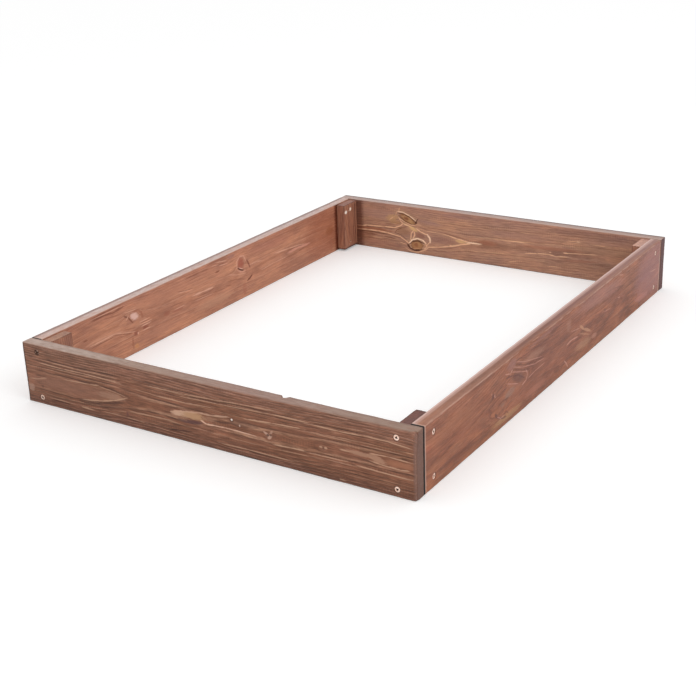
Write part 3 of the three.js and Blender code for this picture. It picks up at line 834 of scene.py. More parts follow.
LEFT_TONES = dict(
    body="#bd8063", dark="#8f523a", pale="#d8a284", streak=0.18, fibre=0.20, blotch=(0.71, 0.69, 0.73),
    cloud=(1.16, 1.18, 1.14), crown=(0.96, 0.92, 0.94), foot=(1.03, 1.06, 1.06), chatter=0.0, knot="#a1614a",
    knot_pale="#c9927c", rim="#804938", bark=0.3, post_side=(0.34, 0.20, 0.15), halo=0.1, arris_wear_and_light="#cfb2a2",
    wear=0.5, end=(0.85, 0.85, 0.85),
    top=[(0.0, "#d1bcb5"), (1.0, "#d0beb9")], top_sheen_share=0.85,
    sheen_and_shade_rails=[(4.5, 3.0, 0.2, "#e0c4b8"), (11.0, 15.5, 0.7, "#5c3028")])
POST_TONES = dict(
    body="#b2785d", dark="#704335", pale="#cb967a", streak=0.6, fibre=0.3, blotch=(0.76, 0.74, 0.78),
    cloud=(0.86, 0.86, 0.90), crown=(1.0, 1.0, 1.0), foot=(1.0, 1.0, 1.0), chatter=0.0,
    arris_wear_and_light="#3d211a", wear=0.5)
print("tones:", len(FRONT_TONES), "for a board and", len(POST_TONES), "for a post")

# %% [markdown]
# Two boards are never alike, and what tells them apart is the figure: the edges of the flames and lenses,
# the pale veins that turn round a knot, and the dark dashes between the years. A cloth and a brush of stain
# follow them. So a patch is written as its middle, its half length and half height, its tilt, its colour
# and how strongly it covers the wood. A line is written as half its thickness, its colour, its cover and
# the points that it runs through. All are in millimetres along the grain and up. On the side boards they
# are measured from the bed's front, and a side board starts one board's thickness and a joint behind that.

# %% A board's figure
OVERLAP = 1.2  # a stretch of a line reaches this much further than half its length


def figure(patches, lines, setback=0.0):
    """Marks for a board's patches, and one for each stretch of its lines between two points."""
    marks = [(w - setback, *rest) for w, *rest in patches]
    for half_height, colour, share, points in lines:
        for (w0, u0), (w1, u1) in zip(points, points[1:]):
            middle, reach = ((w0 + w1) / 2 - setback, (u0 + u1) / 2), math.hypot(w1 - w0, u1 - u0) / 2
            tilt = math.degrees(math.atan2(u1 - u0, w1 - w0))
            marks.append((*middle, reach * OVERLAP + half_height, half_height, tilt, colour, share))
    return marks


# %% The front board's figure
PALE, DARK, SHADE = "#c3987c", "#442719", "#5d3a2d"
FRONT_MARKS = figure([
    (95, 41, 98, 13, 1, "#926753", 0.45), (176, 43, 30, 6.5, 0, "#a98069", 0.5),
    (168, 25, 32, 6, 8, SHADE, 0.4), (9, 25, 7, 7, 10, "#b58f7d", 0.55), (33, 31, 3, 3, 0, SHADE, 0.6),
    (205, 20, 2.5, 4.5, 0, "#5d3436", 0.6), (322, 44, 31, 5.4, 2, "#c29878", 0.9),
    (335, 45, 20, 6.6, 0, "#b88c68", 0.85), (303, 43, 13, 4.8, 8, "#cda48a", 0.8),
    (362, 46, 16, 4.5, 5, "#a67a60", 0.6), (331, 34.5, 20, 3.6, 6, "#4a282d", 0.75),
    (312, 33, 10, 3, -10, "#674540", 0.5), (420, 50, 27, 5, 3, "#684436", 0.5),
    (402, 51.5, 4, 2, 0, DARK, 0.5), (402, 54, 1.8, 1.6, 0, "#fff4ea", 1.0),
    (415.5, 47.5, 1.5, 1.6, 0, "#dabba9", 0.9), (461, 46, 6, 2.2, -25, "#cba28d", 0.8),
    (467, 41, 5, 2.6, 40, "#cba28d", 0.8), (470, 49, 4.5, 2, 50, "#c29782", 0.7),
    (464, 44, 2.6, 2, 0, "#472922", 0.8), (469, 45, 1.6, 2.4, 0, "#472922", 0.6),
    (552, 46.5, 3.2, 1.7, 0, PALE, 0.75), (560, 46.5, 2.8, 1.9, 0, PALE, 0.8),
    (556, 45, 1.6, 1.4, 0, SHADE, 0.7), (613, 50.5, 23, 3.6, -2, "#b0846b", 0.8),
    (640, 49, 17, 5.8, -15, "#b3876d", 0.8), (677, 48.5, 28, 5, 0, "#a66d50", 0.65),
    (682, 58.5, 7, 1.4, 0, DARK, 0.7), (586, 4.5, 6, 1.3, 0, PALE, 0.6), (160, 22, 9, 1.8, 0, DARK, 0.6),
    (300, 24, 10, 2, 0, DARK, 0.55), (285, 93, 11, 1.3, 0, SHADE, 0.5), (330, 94, 17, 1.3, 0, SHADE, 0.5),
    # painted shade: (1.7, 50) is a dark line down the left end arris, and (350, -0.5) a dark line along the
    # bottom edge, the contact shadow on the ground
    (701, 50, 6, 75, 0, "#7a5a4f", 0.8), (1.7, 50, 1.4, 75, 0, "#2e1a14", 0.9),
    (350, -0.5, 420, 2.2, 0, "#2e1a14", 0.75)
], [
    (1.1, PALE, 0.7, [(86, 52), (135, 54.5), (150, 55.5)]),
    (1.2, PALE, 0.85, [(118, 26), (155, 31), (182, 37.5), (206, 46)]),
    (1.0, PALE, 0.45, [(150, 55.5), (182, 52), (207, 47.5)]),
    (1.8, DARK, 0.55, [(128, 23.5), (165, 29), (200, 37)]),
    (1.2, DARK, 0.5, [(60, 57), (110, 57), (150, 58.5), (210, 50)]),
    (1.3, DARK, 0.8, [(45, 78), (95, 77), (135, 77.8), (192, 78.5)]),
    (1.1, DARK, 0.7, [(25, 73), (80, 72), (135, 71), (200, 72.5)]),
    (1.0, DARK, 0.6, [(40, 68), (95, 67), (135, 68), (178, 66)]),
    (0.9, DARK, 0.5, [(30, 64), (95, 63), (172, 63)]), (1.0, PALE, 0.65, [(55, 75), (110, 74.5), (187, 75)]),
    (1.1, PALE, 0.75, [(28, 70.5), (80, 69), (115, 70), (196, 69)]),
    (0.9, PALE, 0.5, [(60, 66), (150, 66.5)]), (1.4, PALE, 0.45, [(8, 40), (25, 42), (44, 47)]),
    (1.0, DARK, 0.5, [(20, 47.5), (40, 48.5)]), (1.4, "#3f160d", 0.8, [(54, 11.5), (87, 11.5)]),
    (1.0, PALE, 0.5, [(50, 14.2), (92, 13.8)]), (1.0, DARK, 0.5, [(45, 17), (78, 16.5)]),
    (2.0, DARK, 0.6, [(110, 22.5), (130, 22), (148, 25)]), (1.5, PALE, 0.75, [(114, 12.5), (136, 12)]),
    (1.1, "#3f160d", 0.6, [(178, 11.5), (240, 12)]), (0.9, PALE, 0.45, [(158, 14), (200, 14.5), (242, 13)]),
    (1.1, PALE, 0.6, [(213, 26), (255, 27.5), (292, 28.5)]),
    (1.1, DARK, 0.65, [(222, 79.5), (300, 79.5), (348, 79.5)]),
    (1.0, PALE, 0.7, [(250, 75.5), (320, 76), (370, 78.5), (420, 81.5), (480, 84)]),
    (1.1, DARK, 0.65, [(325, 74), (368, 75.5), (400, 78), (470, 80.5)]),
    (1.0, PALE, 0.65, [(310, 71), (380, 73.5), (470, 77)]),
    (1.0, PALE, 0.6, [(263, 62), (315, 62.5), (367, 65)]),
    (1.0, DARK, 0.4, [(235, 65.5), (300, 66), (352, 69)]),
    (1.2, PALE, 0.9, [(428, 60.5), (475, 64), (522, 66.5)]), (1.0, PALE, 0.6, [(540, 63.5), (602, 65)]),
    (0.9, PALE, 0.5, [(612, 64), (690, 65)]), (1.2, PALE, 0.85, [(470, 77.5), (533, 78)]),
    (1.2, PALE, 0.9, [(543, 76.5), (585, 76.5), (617, 78)]),
    (1.1, PALE, 0.85, [(620, 78.5), (655, 78.5), (692, 76)]), (1.1, DARK, 0.5, [(540, 80), (620, 80.5)]),
    (1.0, DARK, 0.45, [(480, 74.5), (535, 75)]),
    (1.7, "#38190f", 0.75, [(287, 13), (302, 15.5), (326, 17.5)]),
    (1.1, PALE, 0.75, [(378, 12), (430, 13), (502, 12.5)]), (1.1, DARK, 0.65, [(428, 10.4), (472, 10)]),
    (1.3, PALE, 0.95, [(474, 31.5), (500, 33), (527, 34)]), (1.1, PALE, 0.75, [(529, 32.5), (597, 34)]),
    (1.1, PALE, 0.8, [(610, 32), (650, 31), (690, 30)]), (0.9, PALE, 0.4, [(486, 26), (532, 27)]),
    (1.2, DARK, 0.4, [(478, 28.5), (532, 30)]),
    (1.7, "#cba086", 0.75, [(292, 43), (312, 48), (345, 52), (366, 52.5), (396, 56.5)]),
    (1.2, "#54301f", 0.6, [(298, 51), (330, 54.5), (352, 55.5)]),
    (1.5, "#e4b79c", 0.9, [(347, 40), (356, 37), (368, 37.5)]),
    (1.1, "#e0b49b", 0.85, [(366, 37.5), (388, 38.5), (441, 37.5)]),
    (1.7, "#42261b", 0.6, [(370, 45), (397, 47)]), (1.4, PALE, 0.85, [(583, 50), (597, 50)]),
    (1.1, PALE, 0.85, [(632, 55), (657, 56.5), (692, 55.5)]),
    (1.1, PALE, 0.85, [(630, 44), (650, 42), (678, 41.5), (690, 43)]),
    (1.4, SHADE, 0.5, [(600, 44.5), (628, 43), (642, 39.5)])
])
print("front board:", len(FRONT_MARKS), "marks")

# %% The back board's figure
VEIN, GLINT, BARK = "#f2bd96", "#fbd3b2", "#50291a"
BACK_MARKS = figure([
    (80, 41, 50, 3.6, 0, "#9c5a3c", 0.6), (245, 37, 34, 8, 0, "#8d6055", 0.45),
    # painted shade: (350, -0.5) is a dark line along the bottom edge, the contact shadow on the ground
    (90, 75, 60, 12, 0, "#b0867a", 0.4), (350, -0.5, 420, 2.2, 0, "#2e1a14", 0.75),
    (90, 12, 55, 8, 0, "#a9735f", 0.45), (560, 89, 100, 9, 0, "#6d4a44", 0.4),
    (600, 62, 90, 10, 2, "#8f6c56", 0.4), (550, 28, 90, 13, 3, "#7f5b4b", 0.35),
    (420, 68, 80, 9, 0, "#a4786a", 0.4), (52, 26, 32, 12, 0, "#7c4431", 0.45),
    (150, 45, 17, 10, 0, "#94694f", 0.6), (125, 71, 17, 8, 12, "#cc9c6a", 0.6),
    (131, 62, 15, 5, 0, "#bd8c5c", 0.45), (190, 40, 13, 6, -10, "#875445", 0.55),
    (345, 45, 24, 6, 0, "#a9654a", 0.45), (475, 52, 75, 4, 2, "#a5654c", 0.4),
    (540, 35, 42, 3, 4, "#975844", 0.4), (158, 73, 7, 4, -20, "#7f452c", 0.6),
    (170, 67, 9, 4.5, -30, "#b98c5f", 0.6), (181.5, 67, 3, 3, 0, BARK, 0.85),
    (183, 18, 15, 9, 0, "#b27d52", 0.75), (181, 19, 6, 5, 0, "#8d4e33", 0.6),
    (284, 40.5, 12, 4, -3, "#d9ab78", 0.8), (262, 28, 3.5, 1.7, 0, VEIN, 0.8),
    (512, 47.5, 5, 1.7, 0, VEIN, 0.7), (480, 44.5, 3.5, 1.1, 0, VEIN, 0.7), (537, 73, 5, 1.2, 0, GLINT, 0.8),
    (270, 91, 40, 4, 0, "#96706a", 0.4), (215, 70, 30, 5, -6, "#a07a74", 0.35)
], [
    (1.4, VEIN, 0.95, [(38, 44), (52, 44.5), (62, 46.7), (105, 49), (131, 50)]),
    (1.4, VEIN, 0.9, [(130, 50), (143, 54.5), (150, 60.5)]),
    (1.1, VEIN, 0.8, [(141, 72), (146, 64), (152, 61)]),
    (1.8, "#efc094", 0.95, [(151, 61), (163, 58), (174, 54.5)]),
    (4.2, "#dfb27c", 0.85, [(169, 54), (180, 50.5)]), (1.5, VEIN, 0.9, [(182, 54), (192, 48.5), (209, 43)]),
    (2.2, GLINT, 0.9, [(208, 44), (213.5, 37), (214, 29)]), (1.2, VEIN, 0.8, [(214, 30), (206, 21)]),
    (1.4, VEIN, 0.85, [(175, 49), (169.5, 42), (168.5, 30), (172, 26)]),
    (1.8, VEIN, 0.8, [(177, 46), (178, 40), (174, 33)]),
    (1.4, VEIN, 0.95, [(38, 36), (62, 37.3), (92, 38), (112, 36.5), (130, 33.8)]),
    (1.3, VEIN, 0.9, [(129, 34), (143, 32), (155, 26), (165, 19.5)]),
    (0.9, VEIN, 0.5, [(75, 23), (102, 24)]), (0.9, VEIN, 0.45, [(85, 29.5), (112, 28)]),
    (1.0, VEIN, 0.65, [(142, 20), (157, 17.5)]), (1.1, BARK, 0.7, [(40, 33.3), (75, 34.4), (112, 33)]),
    (1.0, BARK, 0.5, [(62, 43.8), (100, 45.8), (131, 47.3)]), (1.2, "#6a3724", 0.5, [(45, 30), (105, 28)]),
    (1.2, "#6a3724", 0.6, [(100, 28.5), (132, 25.5)]), (1.1, "#6a3724", 0.4, [(60, 20.5), (118, 19.5)]),
    (1.0, "#7a4c36", 0.7, [(131, 40), (136, 46), (147, 51)]),
    (1.0, BARK, 0.5, [(131, 40), (145, 36), (158, 29)]),
    (1.4, GLINT, 0.85, [(137, 85.5), (151, 85), (166, 79.5), (179, 71.5)]),
    (1.3, BARK, 0.75, [(139, 82.5), (153, 81.5), (169, 75.5), (178, 68.5)]),
    (1.1, VEIN, 0.7, [(141, 72), (155, 65), (171, 60), (179, 60.5)]),
    (1.2, BARK, 0.5, [(143, 74.5), (156, 67.5), (170, 62.5)]), (0.9, VEIN, 0.7, [(141, 86), (142, 93)]),
    (1.1, VEIN, 0.6, [(119, 66), (130, 75), (136, 83)]), (1.0, BARK, 0.45, [(127, 73), (134, 80)]),
    (1.0, "#85533a", 0.55, [(110, 56), (131, 57), (147, 61.5)]), (1.1, BARK, 0.8, [(181, 68), (186, 75)]),
    (2.4, BARK, 0.95, [(161, 16.5), (167, 10), (178, 7), (190, 9)]),
    (1.6, BARK, 0.85, [(163, 18), (172, 25.5), (186, 28.5), (199, 24.5)]),
    (1.9, GLINT, 1.0, [(165, 21.5), (172, 29), (184, 33), (196, 31.5), (203, 26)]),
    (1.5, "#d0946c", 0.7, [(175, 10), (190, 13)]),
    (1.0, VEIN, 0.7, [(157, 9), (170, 3.5), (186, 4), (201, 10), (209, 16)]),
    (1.3, VEIN, 0.75, [(203, 26), (206, 18), (200, 12)]),
    (0.9, VEIN, 0.6, [(205, 52), (240, 51.5), (258, 49)]),
    (1.4, VEIN, 0.9, [(257, 49), (275, 45), (303, 41.3)]),
    (1.1, VEIN, 0.9, [(205, 17), (235, 21.5), (263, 27)]),
    (1.6, VEIN, 0.95, [(263, 27.3), (285, 33.5), (306, 38.5)]), (1.6, GLINT, 1.0, [(300, 40), (329, 40.8)]),
    (1.2, "#8a5a44", 0.5, [(240, 53.5), (272, 50), (302, 45)]), (1.0, VEIN, 0.85, [(384, 56), (427, 56.5)]),
    (1.0, VEIN, 0.8, [(428, 35.5), (452, 38.7), (476, 40), (492, 38), (516, 40)]),
    (1.2, "#835539", 0.6, [(496, 35.5), (516, 37.8)]),
    (0.9, VEIN, 0.7, [(508, 47.3), (545, 50), (577, 52.5)]), (0.9, VEIN, 0.5, [(514, 73), (547, 73)]),
    (0.9, VEIN, 0.5, [(478, 16), (502, 17.5)]), (1.0, VEIN, 0.5, [(392, 13), (406, 15)]),
    (1.1, "#85604e", 0.5, [(330, 75), (362, 74), (402, 76), (442, 74)]),
    (1.1, "#85604e", 0.5, [(458, 68), (520, 70), (562, 75)]), (1.2, "#7c5645", 0.55, [(570, 10), (602, 15)]),
    (1.2, "#7c5645", 0.55, [(572, 33), (612, 37)]), (1.2, "#7c5645", 0.5, [(588, 27), (612, 31)]),
    (1.0, "#85604e", 0.45, [(558, 70), (592, 68)])
])
print("back board:", len(BACK_MARKS), "marks")

# %% The side boards' figures
SETBACK = 21.0
EMBER, ROSE = "#5e2e24", "#c08a78"
RIGHT_MARKS = figure([
    (288, 88, 17, 10, 0, "#93635a", 0.6), (310, 60, 25, 8, -22, "#5d3830", 0.55),
    (283, 46, 20, 7, 5, "#8d7668", 0.5), (226, 62, 5, 5.5, -30, EMBER, 0.8),
    (232, 60, 1.5, 3, 20, ROSE, 0.8), (222, 67, 1.2, 2.5, 10, ROSE, 0.6), (237, 27, 8, 2.8, -42, EMBER, 0.8),
    (258, 36, 8, 3.5, 0, "#7d6254", 0.5), (275, 12, 55, 6, 0, "#b28a5f", 0.5),
    (375, 18, 42, 7, 0, "#bd7a60", 0.5), (370, 75, 42, 7, -3, "#ad8069", 0.45),
    (410, 94, 60, 4, 0, "#8a6058", 0.5), (440, 89.5, 18, 4, 4, "#5f3022", 0.75),
    (500, 77, 10, 13, 5, "#ae816c", 0.3), (432, 56, 7, 2.2, -10, EMBER, 0.5),
    (562, 24, 36, 9, -4, "#b98a66", 0.5), (610, 22, 14, 5, -8, "#c08a74", 0.45),
    (453, 18, 13, 5.5, -10, "#66371f", 0.65), (655, 53, 7, 2.6, -15, EMBER, 0.5),
    (730, 50.5, 6, 1.8, -20, EMBER, 0.6), (845, 52, 50, 4.5, 0, "#7c4035", 0.55),
    (872, 54, 7, 3.4, 0, "#6c3229", 0.5), (835, 19, 36, 7, -4, "#bb7a6c", 0.5),
    (90, 62, 60, 7, 0, "#8f5136", 0.35), (140, 47, 70, 8, 0, "#8a4f36", 0.4),
    (560, 85, 70, 8, -5, "#9c6450", 0.4), (700, 62, 60, 12, -10, "#87503e", 0.4),
    (33, 62, 9, 6, 0, "#9b4f38", 0.5), (900, 55, 110, 60, 0, "#a06e6c", 0.55),
    (640, 85, 110, 14, -3, "#a5746a", 0.45), (440, 45, 190, 60, 0, "#7d4838", 0.3),
    # painted shade: (475, -0.5) is a dark line along the bottom edge, the contact shadow on the ground
    (475, -0.5, 520, 2.2, 0, "#2e1a14", 0.75), (110, 70, 80, 16, 0, "#a96a4a", 0.4)
], [
    (1.6, EMBER, 0.7, [(268, 74), (290, 70), (312, 63), (332, 51)]),
    (1.3, ROSE, 0.7, [(268, 80), (282, 76), (290, 79)]),
    (1.0, ROSE, 0.55, [(290, 76), (318, 66), (345, 57)]),
    (1.0, ROSE, 0.6, [(295, 82), (325, 71), (372, 59)]),
    (1.0, EMBER, 0.6, [(292, 79), (322, 68), (352, 58)]),
    (1.0, EMBER, 0.6, [(300, 85), (330, 73), (375, 62)]),
    (1.0, ROSE, 0.5, [(302, 88), (335, 76), (392, 63)]), (1.0, ROSE, 0.6, [(272, 64), (290, 57), (310, 50)]),
    (1.3, ROSE, 0.65, [(338, 62), (344, 53), (339, 45), (325, 42)]),
    (1.2, EMBER, 0.6, [(349, 58), (352, 48), (340, 41)]),
    (1.1, ROSE, 0.55, [(348, 45), (370, 47.5), (405, 48)]), (1.1, EMBER, 0.5, [(345, 41.5), (368, 44)]),
    (1.0, ROSE, 0.6, [(375, 59.5), (405, 56)]), (1.0, EMBER, 0.55, [(372, 65), (400, 59.5)]),
    (1.3, EMBER, 0.55, [(236, 55.5), (250, 57.5), (268, 58)]),
    (2.0, EMBER, 0.7, [(243, 22), (258, 14.5), (270, 13)]),
    (1.2, ROSE, 0.6, [(240, 24), (252, 17), (263, 17.5)]),
    (1.5, EMBER, 0.6, [(245, 40), (258, 42), (277, 40)]),
    (1.2, EMBER, 0.6, [(262, 19), (272, 20.5), (278, 15)]),
    (1.3, EMBER, 0.6, [(305, 88.5), (350, 87), (425, 83)]), (2.0, EMBER, 0.5, [(452, 90), (478, 90.5)]),
    (1.6, ROSE, 0.8, [(496, 46), (513, 48), (537, 45)]),
    (1.6, EMBER, 0.65, [(493, 41), (517, 42), (557, 38.5)]), (1.1, ROSE, 0.5, [(513, 62.5), (547, 57)]),
    (3.0, "#c3906e", 0.6, [(548, 60), (563, 50), (592, 37)]), (2.0, "#bd8a68", 0.45, [(545, 48), (588, 32)]),
    (1.5, "#7a4a2c", 0.6, [(515, 18), (536, 14)]), (1.6, "#7a4a2c", 0.6, [(543, 16), (558, 13)]),
    (1.4, ROSE, 0.8, [(486, 21), (494, 14), (499, 7)]),
    (2.2, "#7d4636", 0.55, [(608, 57), (650, 48.5), (695, 41.5)]),
    (1.1, ROSE, 0.5, [(655, 50), (684, 46.5)]), (1.3, ROSE, 0.65, [(715, 55.5), (726, 53)]),
    (1.5, ROSE, 0.55, [(877, 53.5), (907, 50)]), (1.5, ROSE, 0.6, [(720, 95), (734, 91.5)]),
    (1.1, EMBER, 0.4, [(640, 84), (700, 78), (740, 70)]),
    (1.6, EMBER, 0.5, [(455, 23), (470, 18), (488, 17)])
], SETBACK)
BLUSH, RUST = "#e0ab92", "#7a4330"
LEFT_MARKS = figure([
    (825, 48, 70, 60, 0, "#9a553c", 0.45), (850, 50, 17, 10, 0, "#90502c", 0.45),
    (237, 66, 12, 7, -22, "#e8bcae", 0.85), (238, 35, 7, 5, 0, "#8a4834", 0.75),
    (243, 33, 2, 3, 0, BLUSH, 0.8), (263, 37.5, 9, 4, 0, "#8a4834", 0.75),
    (228, 20, 3, 13, 0, "#9a5a42", 0.5), (237, 12, 6, 5, 0, "#d09258", 0.5),
    (322, 43, 10, 5, 0, "#9a5540", 0.5), (352, 40, 16, 3, 0, "#9d5844", 0.5),
    (471, 75, 7, 2, 0, "#7f422b", 0.8), (514, 92, 12, 5, 0, "#9a6a60", 0.55),
    (542, 70, 11, 12.5, 0, "#a35742", 0.85), (550, 17, 7, 14, 0, "#a8634c", 0.45),
    (116, 63, 6, 1.7, 0, RUST, 0.6), (320, 78, 90, 12, 0, "#c08266", 0.4),
    (640, 80, 70, 10, -3, "#b57560", 0.4), (460, 22, 60, 10, 0, "#c59275", 0.45),
    # painted shade: (475, -0.5) is a dark line along the bottom edge, the contact shadow on the ground
    (300, 18, 60, 10, 0, "#b98068", 0.35), (475, -0.5, 520, 1.6, 0, "#3a1f16", 0.7)
], [
    (1.9, RUST, 0.8, [(213, 73), (221, 69), (231, 57)]), (1.2, BLUSH, 0.7, [(217, 66), (223, 72)]),
    (2.5, "#9c5c44", 0.55, [(236, 75.5), (249, 73), (256.5, 66), (257, 58)]),
    (1.2, BLUSH, 0.6, [(215, 79), (240, 77)]), (1.2, BLUSH, 0.75, [(254, 42), (276, 42.5)]),
    (1.2, BLUSH, 0.7, [(258, 34), (273, 34)]), (1.1, BLUSH, 0.7, [(250, 46.5), (279, 46)]),
    (1.2, BLUSH, 0.65, [(251, 51), (272, 51)]), (1.0, RUST, 0.6, [(254, 48.7), (276, 48.7)]),
    (2.0, "#cf967b", 0.6, [(113, 52), (135, 55), (165, 54), (206, 49)]),
    (1.2, RUST, 0.65, [(128, 46), (186, 47.3)]), (1.4, BLUSH, 0.75, [(128, 50), (182, 51)]),
    (1.0, BLUSH, 0.5, [(185, 51.5), (206, 46), (237, 38)]),
    (1.0, RUST, 0.5, [(184, 49.5), (206, 43.5), (228, 37.5)]), (1.0, RUST, 0.45, [(208, 50), (238, 45)]),
    (2.0, RUST, 0.75, [(138, 91), (167, 91), (187, 89), (212, 91)]),
    (1.5, RUST, 0.65, [(143, 95.5), (207, 96.5)]), (1.0, BLUSH, 0.55, [(148, 93.3), (208, 93.6)]),
    (1.3, RUST, 0.45, [(163, 85), (198, 81)]), (1.1, BLUSH, 0.55, [(343, 42.5), (372, 43)]),
    (1.0, RUST, 0.4, [(335, 51.5), (370, 50)]), (1.1, RUST, 0.45, [(356, 72), (376, 68), (397, 66.5)]),
    (1.0, BLUSH, 0.45, [(360, 69), (395, 64)]), (2.1, BLUSH, 0.75, [(398, 52), (425, 51), (454, 50)]),
    (1.3, RUST, 0.55, [(412, 46), (444, 45.5), (457, 47.5)]),
    (1.1, RUST, 0.4, [(390, 44), (440, 40), (502, 37)]), (1.0, BLUSH, 0.45, [(400, 40.5), (452, 38.5)]),
    (1.3, RUST, 0.55, [(384, 89), (422, 89), (447, 88)]), (1.1, BLUSH, 0.6, [(456, 90), (480, 86)]),
    (1.1, BLUSH, 0.6, [(468, 93.5), (500, 88)]), (1.1, BLUSH, 0.55, [(478, 84.5), (501, 82)]),
    (1.1, RUST, 0.6, [(460, 87.5), (500, 85)]), (1.1, RUST, 0.5, [(440, 95), (500, 97)]),
    (1.7, "#d69c86", 0.65, [(530, 64), (530.5, 77), (540, 84), (552, 82.5), (558, 72)]),
    (1.5, "#d69c86", 0.6, [(532, 59), (545, 52.5), (556, 52)]),
    (1.7, "#5a2717", 0.95, [(533, 63), (540, 58), (549, 55)]),
    (1.0, "#e2b39e", 0.85, [(537, 62.5), (547, 58)]),
    (2.3, "#7f402f", 0.75, [(562, 70), (566, 64), (570, 55)]),
    (1.0, BLUSH, 0.5, [(570, 60), (592, 59), (612, 55.5)]),
    (2.1, "#6a3020", 0.9, [(561, 31.5), (568, 33), (575, 37)]),
    (1.0, BLUSH, 0.45, [(503, 59), (530, 51), (556, 47)]),
    (1.0, RUST, 0.4, [(500, 47), (530, 42.5), (556, 35)]), (1.1, RUST, 0.5, [(493, 40), (511, 37)]),
    (1.5, BLUSH, 0.65, [(653, 58), (700, 54.5), (747, 50)]),
    (3.0, "#dc9c86", 0.65, [(700, 46), (732, 47), (771, 45)]),
    (1.1, RUST, 0.5, [(698, 50.5), (730, 51), (748, 48)]), (1.4, RUST, 0.6, [(738, 39.5), (753, 41)]),
    (1.1, RUST, 0.4, [(688, 38), (732, 38)]), (1.1, BLUSH, 0.5, [(608, 38), (645, 40), (692, 40)])
], SETBACK)
print("right board:", len(RIGHT_MARKS), "marks, left board:", len(LEFT_MARKS))

# %% The torn post's figure
TORN_MARKS = figure([
    (79, 42, 4.2, 5.0, 0, "#fff2e6", 1.0), (82, 25, 4.0, 4.2, 0, "#ffead8", 1.0),
    # painted shade: the two #2e1510 marks, (50, 8) along one side and (0, 25) at the foot, are the shaded gap
    # beside the board and the shade at the ground
    (13, 28, 7, 4, 0, "#a87a60", 0.5), (50, 8, 60, 1.6, 0, "#2e1510", 0.7),
    (30, 14, 26, 1.6, 0, "#4a2a22", 0.6), (60, 32, 40, 1.2, 0, "#54302a", 0.5),
    (0, 25, 4, 40, 0, "#2e1510", 0.7)
], [])
print("torn post:", len(TORN_MARKS), "marks")

# %% [markdown]
# Chips are split out of an arris along the grain, so each one is the convex hull of a few corner points. It
# is cut from the timber with a boolean, which leaves the flat, sharp faces that split wood has.

# %% Seating and chipping
ROW_STEPS = (3.2, 2.0, 1.25)  # mm between rows of vertices along, into and up the timber
X, Y, Z = Vector((1, 0, 0)), Vector((0, 1, 0)), Vector((0, 0, 1))
WAYS = {"board": (X, Y, Z), "side board": (Y, -X, Z), "post": (Z, -X, -Y)}
FRONT_CHIPS = [[(477, 21, 101), (479, 15, 101), (483, 11.6, 101), (488, 14, 101), (493, 21, 101),
                (480, 21, 92), (489, 21, 93)],
               [(330, 21, 101), (334, 17.6, 101), (339, 21, 101), (334, 21, 98)],
               [(468, 21, 100.5), (473, 18.4, 101), (476, 21, 101), (471, 21, 97.5)],
               [(-1, -1, 40), (2.2, -1, 30), (-1, 3, 33), (-1, -1, 22)]]
RIGHT_CHIPS = [[(492, -1, 101), (503, 3.4, 101), (512, -1, 101), (500, -1, 97.6)],
               [(905, -1, 101), (909, 6, 101), (909, -1, 94), (909, 6, 99)]]
BACK_CHIPS = [[(642, -1, 101), (648, 2.5, 101), (655, -1, 101), (649, -1, 98)]]
TORN_CHIPS = [[(75, -1, 51), (79, -1, 46.5), (84, -1, 51), (79, 3.2, 51)]]


def seating(node, way):
    """The size in millimetres, the corner and the turn that take a timber's own frame to its node's box."""
    low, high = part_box(node)
    axes = WAYS[way]
    size = Vector([abs((high - low).dot(axis)) / MM for axis in axes])
    corner = Vector([high[i] if any(axis[i] < 0 for axis in axes) else low[i] for i in range(3)])
    return size, corner, Matrix(axes).transposed().to_euler()


def chip_cutter(name, chips, corner, turn):
    """One mesh with a hull for each chip, in the place of the timber that it is cut from."""
    form = bmesh.new()
    for corners in chips:
        hull = bmesh.new()
        for at in corners:
            hull.verts.new(at)
        made = bmesh.ops.convex_hull(hull, input=hull.verts)
        bmesh.ops.delete(hull, geom=list({*made["geom_interior"], *made["geom_unused"]}), context="VERTS")
        bmesh.ops.recalc_face_normals(hull, faces=hull.faces)
        part = bpy.data.meshes.new("chip")
        hull.to_mesh(part)
        hull.free()
        form.from_mesh(part)
        bpy.data.meshes.remove(part)
    form.transform(Matrix.Translation(corner) @ turn.to_matrix().to_4x4() @ Matrix.Scale(MM, 4))
    mesh = bpy.data.meshes.new(name)
    form.to_mesh(mesh)
    form.free()
    cutter = bpy.data.objects.new(name, mesh)
    bpy.context.scene.collection.objects.link(cutter)
    return cutter


# %% Make, finish and seat one timber
for helper in (screw_places, screw_bore):
    bpy.context.scene.collection.objects.link(helper)


def timber(node, way, log, tones, slot, wane=((0, 0), (1000, 0)), contrast=0.8, relief=0.1, bow=0.0,
           end_wane=0.0, arris=1.1, marks=(), chips=(), **edges):
    """Makes one timber and lets it stand for its frame node. edges are stained_pine's last three values."""
    size, corner, turn = seating(node, way)
    rows = [float(round(reach / step) + 2 * EDGE_ROWS) for reach, step in zip(size, ROW_STEPS)]
    finish = stained_pine("stained pine " + node.replace("_", " "), log, tones, corner, turn, size, contrast,
                          marks, **edges)
    cutter = chip_cutter(node + " chips", chips, corner, turn)
    piece = run_recipe(node + "_timber", timber_recipe(node + " recipe", log, wane), {
        "Size": size, "Rows": rows, "Arris": arris, "End wane": end_wane, "Bow": bow, "Relief": relief,
        "Corner": corner, "Turn": turn, "Screws": screw_places, "Bore": screw_bore, "Chips": cutter,
        "Finish": finish})
    bpy.data.objects.remove(cutter)
    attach(piece, "root")
    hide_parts(node)
    print(node, [round(s, 1) for s in size], "mm,", len(piece.data.polygons), "faces")
    return piece


